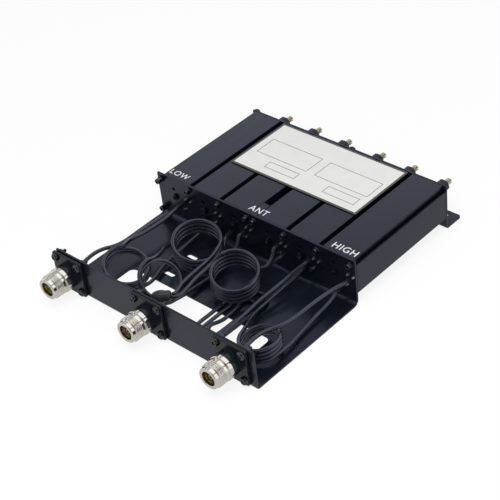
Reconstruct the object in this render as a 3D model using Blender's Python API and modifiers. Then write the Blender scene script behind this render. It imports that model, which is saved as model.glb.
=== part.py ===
"""Six-cavity rf duplexer. A folded tray carries three coaxial jacks and a harness of tuned
cable lengths, and behind its divider six square cavities stand side by side in a cradle,
each with a tuning rod at the rear. Metres, +Z up, jacks towards -Y."""
import math

import bmesh
import bpy
from mathutils import Matrix, Vector

for old in list(bpy.data.objects):
    bpy.data.objects.remove(old, do_unlink=True)

GAP = 0.0003
MERGE = 0.00001
STEP_OVER = 0.0006

# Folded tray: front panel, bottom and divider
SHEET = 0.0015
PANEL_MARGIN = 0.0024
DIVIDER_Y = 0.100
BLOCK_TOP = 0.037
PANEL_FOLD = 0.0010
DIVIDER_FOLD = 0.0035
FOLD_STEPS = 3

# Cavity block
CAVITIES = 6
TUBE = 0.0254
TUBE_WALL = 0.0012
TUBE_GAP = 0.0038
MIDDLE_EXTRA = 0.0028
SIDE_GAP = 0.0012
CRADLE_LEFT = 0.0034
CRADLE_WALL_TOP = 0.0326
REAR_Y = DIVIDER_Y + 0.102
FOOT_LENGTH = 0.016
FOOT_CORNER = 0.0020
REAR_FOLD = 0.0010

TUBE_BOTTOM = BLOCK_TOP - TUBE
CRADLE_BOTTOM = TUBE_BOTTOM - GAP - SHEET
TUBE_PITCH = TUBE + TUBE_GAP
PACK_WIDTH = (CAVITIES - 1) * TUBE_PITCH + MIDDLE_EXTRA + TUBE
PACK_LEFT = CRADLE_LEFT + SHEET + SIDE_GAP
TRAY_WIDTH = PACK_LEFT + PACK_WIDTH + SIDE_GAP + SHEET
TUBE_FRONT = DIVIDER_Y + SHEET + GAP
REAR_FRONT = REAR_Y - SHEET
TUBE_REAR = REAR_FRONT - GAP

# Bridge over the front end of the middle gap
BRIDGE_END = 0.0155
MIDDLE_GAP = TUBE_GAP + MIDDLE_EXTRA

# Openings in the tray's bottom
OPENING_LEFT = 0.0284
OPENING_RIGHT = TRAY_WIDTH - 0.0242
OPENING_FRONT = 0.0125
OPENING_REAR = 0.0402
OPENING_CORNER = 0.0045
SLOT_LENGTH = 0.0092
SLOT_WIDTH = 0.0036
SLOT_X = 0.0558
SLOT_YS = (0.0502, 0.0730)
FOOT_SLOT_INSET = 0.0096
FOOT_SLOT_Y = REAR_Y + 0.0100
FOOT_SLOT_LENGTH = 0.0060

# Coaxial jacks, each with its place across the panel and the height of its axis
FLANGE = 0.0286
JACKS = (
    ("low", 0.0123, FLANGE / 2 + 0.0013),
    ("ant", TRAY_WIDTH / 2 - 0.0015, FLANGE / 2 + 0.0021),
    ("high", TRAY_WIDTH - 0.0187, FLANGE / 2 + 0.0025),
)
PANEL_HEIGHT = FLANGE + PANEL_MARGIN
FLANGE_CORNER = 0.0016
FLANGE_THICK = 0.0022
FLANGE_SCREW_X = FLANGE / 2 - 0.0034
FLANGE_SCREW_Z = FLANGE / 2 - 0.0037
PAN_HEAD_R = 0.0030
PAN_HEAD_H = 0.0022
SHANK_R = 0.0013
NUT_R = 0.0031
NUT_H = 0.0022
SHANK_END = 0.0068
BARREL_R = 0.0092
BARREL_END = 0.0080
NECK_R = 0.0050
NECK_END = 0.0035
JACK_HOLE_R = NECK_R + GAP
DIELECTRIC_R = 0.0032
SHELL_RING_R = 0.0093
SHELL_RING_END = 0.0113
THREAD_R = 0.0088
THREAD_RELIEF = 0.0004
THREAD_RELIEF_LENGTH = 0.0008
THREAD_END = 0.0195
NOSE_R = 0.0078
NOSE_END = 0.0227
NOSE_CHAMFER = 0.0005
BORE_R = 0.0047
CONTACT_R = 0.0017
CONTACT_TIP = 0.0205
CONTACT_BORE_R = 0.0009
CONTACT_BORE_DEPTH = 0.0040
PIN_R = 0.0008
PIN_END = 0.0062
LONG_PIN_END = 0.0124
DIELECTRIC_FACE = 0.0130

# Tuning rods, lock nuts, plungers and resonators
ROD_R = 0.0022
ROD_TIP_Y = REAR_Y + 0.0242
ROD_DROP = 0.0030
ROD_Z = TUBE_BOTTOM + TUBE / 2 - ROD_DROP
ROD_SLOT_WIDTH = 0.0011
ROD_SLOT_DEPTH = 0.0032
LOCK_NUT_FLATS = 0.0086
LOCK_NUT_T = 0.0050
LOCK_SLEEVE_R = 0.0037
LOCK_SLEEVE_LENGTH = 0.0122
PLUNGER_CLEARANCE = 0.0009
PLUNGER_R = TUBE / 2 - TUBE_WALL - ROD_DROP - PLUNGER_CLEARANCE
PLUNGER_LENGTH = 0.0090
PLUNGER_FRONT_Y = REAR_Y - 0.0280
PLUNGER_WALL = 0.0012
ROD_TRAVEL_IN = 0.0060
COLLAR_T = 0.0012
COLLAR_R = 0.0036
RESONATOR_R = PLUNGER_R - 0.0008
RESONATOR_WIRE = 0.0009
RESONATOR_TURNS = 3.5
RESONATOR_PITCH = 0.0120
RESONATOR_STEPS = 6

# Label
LABEL_LEFT = 0.0373
LABEL_RIGHT = TRAY_WIDTH - 0.0310
LABEL_FRONT = REAR_Y - 0.0625
LABEL_REAR = REAR_Y - 0.0035
LABEL_T = 0.0006

# Divider hardware, from each cavity's centre
TRIMMER = (-0.0045, 0.0201, 0.0024)
TRIMMER_SCREW_R = 0.0012
TRIMMER_NUT_H = 0.0016
HOLE = (-0.0034, 0.0278, 0.0014)
UPPER_SCREW = (0.0094, 0.0313)
LOWER_SCREW = (0.0060, 0.0134)
SCREW_R = 0.0017
SCREW_H = 0.0011
BUSH_R = 0.0022
BUSH_H = 0.0012
EDGE_SCREW_ZS = (BLOCK_TOP - 0.0075, 0.0056)
EDGE_SCREW_R = 0.0024
EDGE_SCREW_H = 0.0017

# Harness
CABLE_R = 0.0014
CABLE_PITCH = 0.00315
COIL_STEPS = 11
BOOT_R = 0.0038
BOOT_FROM = Vector((JACKS[1][1] - 0.0092, 0.0108, 0.0192))
BOOT_TO = Vector((JACKS[1][1] + 0.0012, 0.0196, 0.0196))

LEFTMOST = JACKS[0][1] - FLANGE / 2
ORIGIN = Vector(((LEFTMOST + TRAY_WIDTH) / 2, (ROD_TIP_Y - NOSE_END) / 2, 0.0))

part = bpy.data.collections.new("rf_duplexer")
cutters = bpy.data.collections.new("cutters")
bpy.context.scene.collection.children.link(part)
bpy.context.scene.collection.children.link(cutters)


def material(name, colour, metallic, roughness):
    made = bpy.data.materials.new(name)
    made.use_nodes = True
    shader = made.node_tree.nodes["Principled BSDF"]
    shader.inputs["Base Color"].default_value = (*colour, 1.0)
    shader.inputs["Metallic"].default_value = metallic
    shader.inputs["Roughness"].default_value = roughness
    return made


PAINT = material("painted_sheet", (0.052, 0.056, 0.066), 0.0, 0.45)
NICKEL = material("nickel_plate", (0.74, 0.71, 0.66), 1.0, 0.28)
BRASS = material("brass", (0.62, 0.50, 0.24), 1.0, 0.32)
JACKET = material("cable_jacket", (0.018, 0.019, 0.022), 0.0, 0.30)
DIELECTRIC = material("white_dielectric", (0.80, 0.78, 0.72), 0.0, 0.5)
LABEL_STOCK = material("label_stock", (0.76, 0.76, 0.75), 0.0, 0.5)
COPPER = material("copper_wire", (0.72, 0.38, 0.22), 1.0, 0.35)

TO_X = Matrix(((0, 0, 1, 0), (1, 0, 0, 0), (0, 1, 0, 0), (0, 0, 0, 1)))
TO_Z = Matrix.Identity(4)
TO_FRONT = Matrix.Rotation(math.radians(90), 4, "X")
TO_REAR = Matrix.Rotation(math.radians(-90), 4, "X")
TO_LEFT = Matrix.Rotation(math.radians(-90), 4, "Y")


def place(x, y, z):
    return Vector((x, y, z)) - ORIGIN


def show(name, mesh, surface, location, smooth=False):
    thing = bpy.data.objects.new(name, mesh)
    mesh.materials.clear()
    mesh.materials.append(surface)
    for face in mesh.polygons:
        face.use_smooth = smooth
    thing.location = location
    part.objects.link(thing)
    return thing


def as_mesh(thing):
    """Evaluates an object, welds it, takes its placing into the mesh and removes it."""
    bpy.context.view_layer.update()
    graph = bpy.context.evaluated_depsgraph_get()
    mesh = bpy.data.meshes.new_from_object(thing.evaluated_get(graph))
    mesh.transform(thing.matrix_world)
    bpy.data.objects.remove(thing, do_unlink=True)
    return mesh


def welded(mesh):
    body = bmesh.new()
    body.from_mesh(mesh)
    bmesh.ops.remove_doubles(body, verts=body.verts, dist=MERGE)
    bmesh.ops.recalc_face_normals(body, faces=body.faces)
    body.to_mesh(mesh)
    body.free()
    return mesh


def prism(outline, depth, frame=TO_Z, offset=(0, 0, 0)):
    """Closed outline filled and extruded both ways from its own plane, then turned and moved."""
    curve = bpy.data.curves.new("outline", "CURVE")
    curve.dimensions = "2D"
    curve.fill_mode = "BOTH"
    curve.extrude = depth / 2
    spline = curve.splines.new("POLY")
    spline.points.add(len(outline) - 1)
    for point, (across, up) in zip(spline.points, outline):
        point.co = (across, up, 0.0, 1.0)
    spline.use_cyclic_u = True
    thing = bpy.data.objects.new("outline", curve)
    bpy.context.scene.collection.objects.link(thing)
    thing.matrix_world = Matrix.Translation(offset) @ frame
    return welded(as_mesh(thing))


def lathe(profile, steps, frame, offset=(0, 0, 0), closed=False):
    """Profile of (radius, height) pairs turned about Z, then the axis turned and moved."""
    mesh = bpy.data.meshes.new("profile")
    count = len(profile)
    edges = [(k, k + 1) for k in range(count - 1)]
    if closed:
        edges.append((count - 1, 0))
    mesh.from_pydata([(radius, 0.0, height) for radius, height in profile], edges, [])
    thing = bpy.data.objects.new("profile", mesh)
    bpy.context.scene.collection.objects.link(thing)
    screw = thing.modifiers.new("turn", "SCREW")
    screw.steps = steps
    screw.render_steps = steps
    screw.use_merge_vertices = True
    screw.merge_threshold = MERGE
    thing.matrix_world = Matrix.Translation(offset) @ frame
    return welded(as_mesh(thing))


def joined(meshes):
    body = bpy.data.meshes.new("joined")
    points = []
    faces = []
    for mesh in meshes:
        start = len(points)
        points += [vertex.co.copy() for vertex in mesh.vertices]
        faces += [[start + index for index in face.vertices] for face in mesh.polygons]
    body.from_pydata(points, [], faces)
    return body


def combine(thing, meshes, operation):
    """Joins or cuts loose solids, given in the object's own frame, with an exact Boolean."""
    tool = bpy.data.objects.new(thing.name + "_" + operation.lower(), joined(meshes))
    tool.parent = thing
    tool.hide_render = True
    tool.display_type = "WIRE"
    cutters.objects.link(tool)
    boolean = thing.modifiers.new(operation.lower(), "BOOLEAN")
    boolean.operation = operation
    boolean.solver = "EXACT"
    boolean.object = tool


def arc(across, up, radius, start, end, steps):
    turns = [math.radians(start + (end - start) * k / steps) for k in range(steps + 1)]
    return [(across + radius * math.cos(turn), up + radius * math.sin(turn)) for turn in turns]


def rounded(left, right, low, high, radius, steps=FOLD_STEPS):
    return (
        arc(right - radius, low + radius, radius, -90, 0, steps)
        + arc(right - radius, high - radius, radius, 0, 90, steps)
        + arc(left + radius, high - radius, radius, 90, 180, steps)
        + arc(left + radius, low + radius, radius, 180, 270, steps)
    )


def rectangle(left, right, low, high):
    return [(left, low), (right, low), (right, high), (left, high)]


def disc(across, up, radius, steps):
    return arc(across, up, radius, 0, 360 - 360 / steps, steps - 1)


def hexagon(flats):
    return arc(0.0, 0.0, flats / math.sqrt(3), 0, 300, 5)


def cavity_left(index):
    return PACK_LEFT + index * TUBE_PITCH + (MIDDLE_EXTRA if index >= CAVITIES // 2 else 0.0)


def cavity_centre(index):
    return cavity_left(index) + TUBE / 2


# Tray: one sheet folded into panel, bottom and divider
panel_outer = PANEL_FOLD + SHEET
divider_outer = DIVIDER_FOLD + SHEET
divider_rear = DIVIDER_Y + SHEET
side = (
    [(0.0, PANEL_HEIGHT)]
    + arc(panel_outer, panel_outer, panel_outer, 180, 270, FOLD_STEPS)
    + arc(divider_rear - divider_outer, divider_outer, divider_outer, -90, 0, FOLD_STEPS)
    + [(divider_rear, BLOCK_TOP), (DIVIDER_Y, BLOCK_TOP)]
    + arc(DIVIDER_Y - DIVIDER_FOLD, SHEET + DIVIDER_FOLD, DIVIDER_FOLD, 0, -90, FOLD_STEPS)
    + arc(SHEET + PANEL_FOLD, SHEET + PANEL_FOLD, PANEL_FOLD, 270, 180, FOLD_STEPS)
    + [(SHEET, PANEL_HEIGHT)]
)
tray = show(
    "chassis_tray",
    prism(side, TRAY_WIDTH, TO_X, (TRAY_WIDTH / 2, 0, 0)),
    PAINT,
    place(0, 0, 0),
)
through = 4 * SHEET
slot_half = SLOT_LENGTH / 2
tray_cuts = [
    prism(
        rounded(OPENING_LEFT, OPENING_RIGHT, OPENING_FRONT, OPENING_REAR, OPENING_CORNER),
        through,
    )
]
for slot_y in SLOT_YS:
    slot = rounded(
        SLOT_X - slot_half,
        SLOT_X + slot_half,
        slot_y - SLOT_WIDTH / 2,
        slot_y + SLOT_WIDTH / 2,
        SLOT_WIDTH * 0.49,
    )
    tray_cuts.append(prism(slot, through))
for jack, jack_x, jack_z in JACKS:
    tray_cuts.append(prism(disc(0, 0, JACK_HOLE_R, 12), through, TO_FRONT, (jack_x, 0, jack_z)))
    for side_x in (-1, 1):
        for side_z in (-1, 1):
            spot = (jack_x + side_x * FLANGE_SCREW_X, 0, jack_z + side_z * FLANGE_SCREW_Z)
            tray_cuts.append(prism(disc(0, 0, SHANK_R + GAP * 2, 6), through, TO_FRONT, spot))
for index in range(CAVITIES):
    spot = (cavity_centre(index) + HOLE[0], DIVIDER_Y, HOLE[1])
    tray_cuts.append(prism(disc(0, 0, HOLE[2], 6), through, TO_FRONT, spot))
combine(tray, tray_cuts, "DIFFERENCE")


def pan_head(radius, height, frame, offset, steps=10, root=STEP_OVER):
    """Domed head that stands out of a face and is sunk into it by the root."""
    profile = [(0.0, height), (radius * 0.72, height), (radius, height * 0.4)]
    profile += [(radius, -root), (0.0, -root)]
    return lathe(profile, steps, frame, offset)


# Cable bushes of the divider: the cavity each belongs to, the place across from that
# cavity's centre, and the height
BUSHES = {
    "lead_low": (0, -0.0003, 0.0142),
    "one": (0, 0.0074, 0.0214),
    "two": (1, 0.0022, 0.0110),
    "two_out": (1, -0.0040, 0.0125),
    "three": (2, -0.0072, 0.0120),
    "three_out": (2, 0.0058, 0.0180),
    "four": (3, 0.0060, 0.0205),
    "four_out": (3, 0.0110, 0.0152),
    "five": (4, 0.0046, 0.0205),
    "five_out": (4, 0.0008, 0.0130),
    "six": (5, 0.0024, 0.0092),
    "six_out": (5, 0.0092, 0.0195),
}


def bush_spot(name):
    index, across, up = BUSHES[name]
    return cavity_centre(index) + across, up


trimmers = []
screws = []
for index in range(CAVITIES):
    centre = cavity_centre(index)
    trimmer = (centre + TRIMMER[0], DIVIDER_Y, TRIMMER[1])
    profile = [(0.0, TRIMMER_NUT_H * 1.7), (TRIMMER_SCREW_R, TRIMMER_NUT_H * 1.7)]
    profile += [(TRIMMER_SCREW_R, TRIMMER_NUT_H), (TRIMMER[2], TRIMMER_NUT_H)]
    profile += [(TRIMMER[2], -STEP_OVER), (0.0, -STEP_OVER)]
    trimmers.append(lathe(profile, 6, TO_FRONT, trimmer))
    for across, up in (UPPER_SCREW, LOWER_SCREW):
        screws.append(pan_head(SCREW_R, SCREW_H, TO_FRONT, (centre + across, DIVIDER_Y, up), 6))
bushes = []
bush_profile = [(0.0, BUSH_H), (BUSH_R, BUSH_H), (BUSH_R, -STEP_OVER), (0.0, -STEP_OVER)]
for name in BUSHES:
    across, up = bush_spot(name)
    bushes.append(lathe(bush_profile, 6, TO_FRONT, (across, DIVIDER_Y, up)))
for up in EDGE_SCREW_ZS:
    edge = (0, DIVIDER_Y + SHEET / 2, up)
    screws.append(pan_head(EDGE_SCREW_R, EDGE_SCREW_H, TO_LEFT, edge, 8))
for hardware in (trimmers, screws, bushes):
    combine(tray, hardware, "UNION")
bridge_half = MIDDLE_GAP / 2 - GAP
bridge_x = cavity_left(CAVITIES // 2) - MIDDLE_GAP / 2
bridge = rectangle(
    bridge_x - bridge_half, bridge_x + bridge_half, DIVIDER_Y + SHEET / 2, DIVIDER_Y + BRIDGE_END
)
combine(tray, [prism(bridge, SHEET, TO_Z, (0, 0, BLOCK_TOP - SHEET / 2))], "UNION")

# Cradle under and beside the cavities
cradle_length = TUBE_REAR - TUBE_FRONT
cradle_section = [
    (CRADLE_LEFT, CRADLE_BOTTOM),
    (TRAY_WIDTH, CRADLE_BOTTOM),
    (TRAY_WIDTH, CRADLE_WALL_TOP),
    (TRAY_WIDTH - SHEET, CRADLE_WALL_TOP),
    (TRAY_WIDTH - SHEET, CRADLE_BOTTOM + SHEET),
    (CRADLE_LEFT + SHEET, CRADLE_BOTTOM + SHEET),
    (CRADLE_LEFT + SHEET, CRADLE_WALL_TOP),
    (CRADLE_LEFT, CRADLE_WALL_TOP),
]
block_middle = (TUBE_FRONT + TUBE_REAR) / 2
show(
    "cavity_cradle",
    prism(cradle_section, cradle_length, TO_FRONT, (0, block_middle, 0)),
    PAINT,
    place(0, 0, 0),
)

# Rear plate with its foot
foot_end = REAR_Y + FOOT_LENGTH
rear_outer = REAR_FOLD + SHEET
rear_side = (
    [(REAR_FRONT, BLOCK_TOP)]
    + arc(REAR_FRONT + rear_outer, rear_outer, rear_outer, 180, 270, FOLD_STEPS)
    + [(foot_end, 0.0), (foot_end, SHEET)]
    + arc(REAR_Y + REAR_FOLD, SHEET + REAR_FOLD, REAR_FOLD, 270, 180, FOLD_STEPS)
    + [(REAR_Y, BLOCK_TOP)]
)
rear_width = TRAY_WIDTH - CRADLE_LEFT
rear_middle = (TRAY_WIDTH + CRADLE_LEFT) / 2
rear_plate = show(
    "rear_plate",
    prism(rear_side, rear_width, TO_X, (rear_middle, 0, 0)),
    PAINT,
    place(0, 0, 0),
)
rear_cuts = []
for index in range(CAVITIES):
    spot = (cavity_centre(index), REAR_Y, ROD_Z)
    rear_cuts.append(prism(disc(0, 0, ROD_R + GAP, 8), through, TO_FRONT, spot))
for slot_x in (CRADLE_LEFT + FOOT_SLOT_INSET, TRAY_WIDTH - FOOT_SLOT_INSET):
    slot = rounded(
        slot_x - SLOT_WIDTH / 2,
        slot_x + SLOT_WIDTH / 2,
        FOOT_SLOT_Y - FOOT_SLOT_LENGTH / 2,
        FOOT_SLOT_Y + FOOT_SLOT_LENGTH / 2,
        SLOT_WIDTH * 0.49,
    )
    rear_cuts.append(prism(slot, through))
for edge_x, turn in ((CRADLE_LEFT, 90), (TRAY_WIDTH, 0)):
    inward = 1 if turn else -1
    corner = [(edge_x, foot_end - FOOT_CORNER)]
    corner += [(edge_x - inward * SHEET, foot_end - FOOT_CORNER)]
    corner += [(edge_x - inward * SHEET, foot_end + SHEET)]
    corner += [(edge_x + inward * FOOT_CORNER, foot_end + SHEET)]
    corner += arc(
        edge_x + inward * FOOT_CORNER,
        foot_end - FOOT_CORNER,
        FOOT_CORNER,
        90,
        180 if turn else 0,
        FOLD_STEPS,
    )[:-1]
    rear_cuts.append(prism(corner, through))
combine(rear_plate, rear_cuts, "DIFFERENCE")

# Cavities with their resonators, plungers, rods and lock nuts
for index in range(CAVITIES):
    number = str(index + 1)
    centre = cavity_centre(index)
    left = cavity_left(index)
    tube = show(
        "cavity_tube_" + number,
        prism(
            rectangle(left, left + TUBE, TUBE_BOTTOM, BLOCK_TOP),
            cradle_length,
            TO_FRONT,
            (0, block_middle, 0),
        ),
        PAINT,
        place(0, 0, 0),
    )
    bore = rectangle(
        left + TUBE_WALL,
        left + TUBE - TUBE_WALL,
        TUBE_BOTTOM + TUBE_WALL,
        BLOCK_TOP - TUBE_WALL,
    )
    bore_mesh = prism(bore, cradle_length + through, TO_FRONT, (0, block_middle, 0))
    combine(tube, [bore_mesh], "DIFFERENCE")

    axis_front = place(centre, PLUNGER_FRONT_Y, ROD_Z)
    cup = [
        (ROD_R + GAP, 0.0),
        (PLUNGER_R, 0.0),
        (PLUNGER_R, -PLUNGER_LENGTH),
        (PLUNGER_R - PLUNGER_WALL, -PLUNGER_LENGTH),
        (PLUNGER_R - PLUNGER_WALL, -PLUNGER_WALL),
        (ROD_R + GAP, -PLUNGER_WALL),
    ]
    show("plunger_" + number, lathe(cup, 10, TO_REAR, closed=True), BRASS, axis_front, True)

    rod_length = ROD_TIP_Y - PLUNGER_FRONT_Y
    rod_profile = [
        (0.0, rod_length),
        (ROD_R, rod_length),
        (ROD_R, GAP + COLLAR_T),
        (COLLAR_R, GAP + COLLAR_T),
        (COLLAR_R, GAP),
        (ROD_R, GAP),
        (ROD_R, -PLUNGER_WALL - GAP),
        (COLLAR_R, -PLUNGER_WALL - GAP),
        (COLLAR_R, -PLUNGER_WALL - GAP - COLLAR_T),
        (0.0, -PLUNGER_WALL - GAP - COLLAR_T),
    ]
    rod = show("tuning_rod_" + number, lathe(rod_profile, 8, TO_REAR), BRASS, axis_front, True)
    slot = prism(
        rectangle(-COLLAR_R, COLLAR_R, rod_length - ROD_SLOT_DEPTH, rod_length + SHEET),
        ROD_SLOT_WIDTH,
    )
    combine(rod, [slot], "DIFFERENCE")

    sleeve = LOCK_SLEEVE_LENGTH
    nut = show(
        "lock_nut_" + number,
        prism(hexagon(LOCK_NUT_FLATS), LOCK_NUT_T, TO_REAR, (0, sleeve + LOCK_NUT_T / 2, 0)),
        PAINT,
        place(centre, REAR_Y + GAP, ROD_Z),
    )
    sleeve_depth = sleeve + STEP_OVER
    sleeve_mesh = prism(
        disc(0, 0, LOCK_SLEEVE_R, 8), sleeve_depth, TO_REAR, (0, sleeve_depth / 2, 0)
    )
    combine(nut, [sleeve_mesh], "UNION")
    nut_bore = prism(disc(0, 0, ROD_R + GAP, 8), 4 * sleeve, TO_REAR)
    combine(nut, [nut_bore], "DIFFERENCE")

# Jacks
for jack, jack_x, jack_z in JACKS:
    spot = place(jack_x, 0, jack_z)
    flange_y = -GAP - FLANGE_THICK / 2
    half = FLANGE / 2
    flange = show(
        "jack_flange_" + jack,
        prism(
            rounded(-half, half, -half, half, FLANGE_CORNER, 2),
            FLANGE_THICK,
            TO_FRONT,
            (0, flange_y, 0),
        ),
        PAINT,
        spot,
    )
    neck = [
        (DIELECTRIC_R + GAP, BARREL_END),
        (BARREL_R, BARREL_END),
        (BARREL_R, GAP + FLANGE_THICK / 2),
        (NECK_R, GAP + FLANGE_THICK / 2),
        (NECK_R, -NECK_END),
        (DIELECTRIC_R + GAP, -NECK_END),
    ]
    combine(flange, [prism(disc(0, 0, DIELECTRIC_R + 2 * GAP, 10), through, TO_FRONT)], "DIFFERENCE")
    combine(flange, [lathe(neck, 16, TO_FRONT, closed=True)], "UNION")
    screws = []
    for side_x in (-1, 1):
        for side_z in (-1, 1):
            at = (side_x * FLANGE_SCREW_X, 0, side_z * FLANGE_SCREW_Z)
            face = GAP + FLANGE_THICK
            head = face + PAN_HEAD_H
            nut_face = -SHEET - GAP
            screw = [
                (0.0, head),
                (PAN_HEAD_R * 0.68, head),
                (PAN_HEAD_R, head - PAN_HEAD_H * 0.6),
                (PAN_HEAD_R, face - STEP_OVER),
                (SHANK_R, face - STEP_OVER),
                (SHANK_R, nut_face),
                (NUT_R, nut_face),
                (NUT_R, nut_face - NUT_H),
                (SHANK_R, nut_face - NUT_H),
                (SHANK_R * 0.8, -SHANK_END),
                (0.0, -SHANK_END),
            ]
            screws.append(lathe(screw, 6, TO_FRONT, at))
    combine(flange, screws, "UNION")

    shell = [
        (BORE_R, NOSE_END),
        (NOSE_R - NOSE_CHAMFER, NOSE_END),
        (NOSE_R, NOSE_END - NOSE_CHAMFER),
        (NOSE_R, THREAD_END),
        (THREAD_R, THREAD_END),
        (THREAD_R, SHELL_RING_END + THREAD_RELIEF_LENGTH),
        (THREAD_R - THREAD_RELIEF, SHELL_RING_END),
        (SHELL_RING_R, SHELL_RING_END),
        (SHELL_RING_R, BARREL_END + GAP),
        (BORE_R, BARREL_END + GAP),
    ]
    show("jack_shell_" + jack, lathe(shell, 20, TO_FRONT, closed=True), NICKEL, spot, True)
    bead = [
        (PIN_R + GAP, DIELECTRIC_FACE),
        (BORE_R - GAP, DIELECTRIC_FACE),
        (BORE_R - GAP, BARREL_END + GAP),
        (DIELECTRIC_R, BARREL_END + GAP),
        (DIELECTRIC_R, -NECK_END),
        (PIN_R + GAP, -NECK_END),
    ]
    show("jack_insulator_" + jack, lathe(bead, 10, TO_FRONT, closed=True), DIELECTRIC, spot, True)
    pin_end = LONG_PIN_END if jack == "ant" else PIN_END
    contact = [
        (0.0, CONTACT_TIP - CONTACT_BORE_DEPTH),
        (CONTACT_BORE_R, CONTACT_TIP - CONTACT_BORE_DEPTH),
        (CONTACT_BORE_R, CONTACT_TIP),
        (CONTACT_R, CONTACT_TIP),
        (CONTACT_R, DIELECTRIC_FACE + GAP),
        (PIN_R, DIELECTRIC_FACE + GAP),
        (PIN_R, -pin_end),
        (0.0, -pin_end),
    ]
    show("jack_contact_" + jack, lathe(contact, 8, TO_FRONT), BRASS, spot, True)

# Label on top of the cavities
label_outline = rectangle(LABEL_LEFT, LABEL_RIGHT, LABEL_FRONT, LABEL_REAR)
show(
    "label_plate",
    prism(label_outline, LABEL_T, TO_Z, (0, 0, BLOCK_TOP + GAP + LABEL_T / 2)),
    LABEL_STOCK,
    place(0, 0, 0),
)


def cord(name, points, radius, surface, sides=2):
    """Round cable along a run of points, closed at both ends."""
    curve = bpy.data.curves.new(name, "CURVE")
    curve.dimensions = "3D"
    curve.bevel_depth = radius
    curve.bevel_resolution = sides
    curve.use_fill_caps = True
    spline = curve.splines.new("POLY")
    spline.points.add(len(points) - 1)
    for point, spot in zip(spline.points, points):
        point.co = (*(spot - ORIGIN), 1.0)
    thing = bpy.data.objects.new(name, curve)
    bpy.context.scene.collection.objects.link(thing)
    return show(name, welded(as_mesh(thing)), surface, (0, 0, 0), True)


def coil(centre, radius, lean, start, turns, way, steps=COIL_STEPS, pitch=CABLE_PITCH):
    """Turns going down from the top one, whose plane leans towards the given side. Each turn
    lies straight under the one before it. way is 1 for counter-clockwise seen from above."""
    normal = Vector((lean[0], lean[1], 1.0)).normalized()
    along = (Vector((1, 0, 0)) - normal * normal.x).normalized()
    across = normal.cross(along)
    spots = []
    count = round(turns * steps)
    for k in range(count + 1):
        part_turn = turns * k / count
        angle = math.radians(start) + way * math.tau * part_turn
        ring = along * math.cos(angle) + across * math.sin(angle)
        drop = pitch * (part_turn - 0.5)
        spots.append(Vector(centre) + ring * radius - Vector((0, 0, drop)))
    return spots


def route(points):
    return [Vector(point) for point in points]


def at_bush(name):
    """Straight end of a cable on a bush of the divider, outer point first."""
    across, up = bush_spot(name)
    end = Vector((across, DIVIDER_Y - BUSH_H - GAP, up))
    return [end - Vector((0, 2 * CABLE_R, 0)), end]


def at_pin(index, end):
    jack, jack_x, jack_z = JACKS[index]
    start = Vector((jack_x, end + GAP, jack_z))
    return [start, start + Vector((0, 2 * CABLE_R, 0))]


# Resonators, one wire helix in each cavity, open beyond the plunger's travel and standing
# on the cavity's floor at its other end
resonator_end = PLUNGER_FRONT_Y - PLUNGER_LENGTH - ROD_TRAVEL_IN - 2 * COLLAR_T
cavity_floor = TUBE_BOTTOM + TUBE_WALL
for index in range(CAVITIES):
    spots = []
    for k in range(round(RESONATOR_TURNS * RESONATOR_STEPS) + 1):
        angle = math.tau * k / RESONATOR_STEPS
        along = resonator_end - RESONATOR_PITCH * k / RESONATOR_STEPS
        across = cavity_centre(index) + RESONATOR_R * math.cos(angle)
        spots.append(Vector((across, along, ROD_Z + RESONATOR_R * math.sin(angle))))
    spots.append(Vector((spots[-1].x, spots[-1].y, cavity_floor + GAP)))
    cord("resonator_" + str(index + 1), spots, RESONATOR_WIRE, COPPER, 0)

# Harness: jack leads, and tuned lengths between neighbouring cavities
cord(
    "lead_low",
    at_pin(0, PIN_END)
    + route(
        [
            (0.0124, 0.0120, 0.0170),
            (0.0126, 0.0180, 0.0183),
            (0.0130, 0.0240, 0.0185),
            (0.0135, 0.0310, 0.0172),
            (0.0140, 0.0370, 0.0152),
            (0.0150, 0.0440, 0.0140),
            (0.0175, 0.0780, 0.0140),
        ]
    )
    + at_bush("lead_low"),
    CABLE_R,
    JACKET,
)
cord(
    "line_one_two",
    at_bush("one")[::-1]
    + route([(0.0280, 0.0800, 0.0206), (0.0272, 0.0600, 0.0204), (0.0254, 0.0460, 0.0212)])
    + coil((0.0410, 0.0255, 0.0182), 0.0152, (0.38, -0.12), 142, 2.6, 1)
    + route(
        [
            (0.0546, 0.0330, 0.0048),
            (0.0526, 0.0410, 0.0042),
            (0.0500, 0.0500, 0.0042),
            (0.0480, 0.0640, 0.0052),
            (0.0478, 0.0760, 0.0066),
            (0.0486, 0.0880, 0.0084),
        ]
    )
    + at_bush("two"),
    CABLE_R,
    JACKET,
)
cord(
    "line_two_three",
    at_bush("two_out")[::-1]
    + route(
        [
            (0.0440, 0.0900, 0.0108),
            (0.0436, 0.0810, 0.0098),
            (0.0438, 0.0720, 0.0106),
            (0.0454, 0.0640, 0.0136),
            (0.0488, 0.0560, 0.0176),
            (0.0540, 0.0480, 0.0214),
            (0.0578, 0.0410, 0.0244),
            (0.0598, 0.0350, 0.0268),
        ]
    )
    + coil((0.0716, 0.0284, 0.0182), 0.0147, (0.84, -0.06), 178, 1.5, 1)
    + route(
        [
            (0.0836, 0.0360, 0.0050),
            (0.0842, 0.0480, 0.0046),
            (0.0850, 0.0640, 0.0050),
            (0.0852, 0.0800, 0.0080),
            (0.0842, 0.0900, 0.0126),
        ]
    )
    + at_bush("three_out"),
    CABLE_R,
    JACKET,
)

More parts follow.
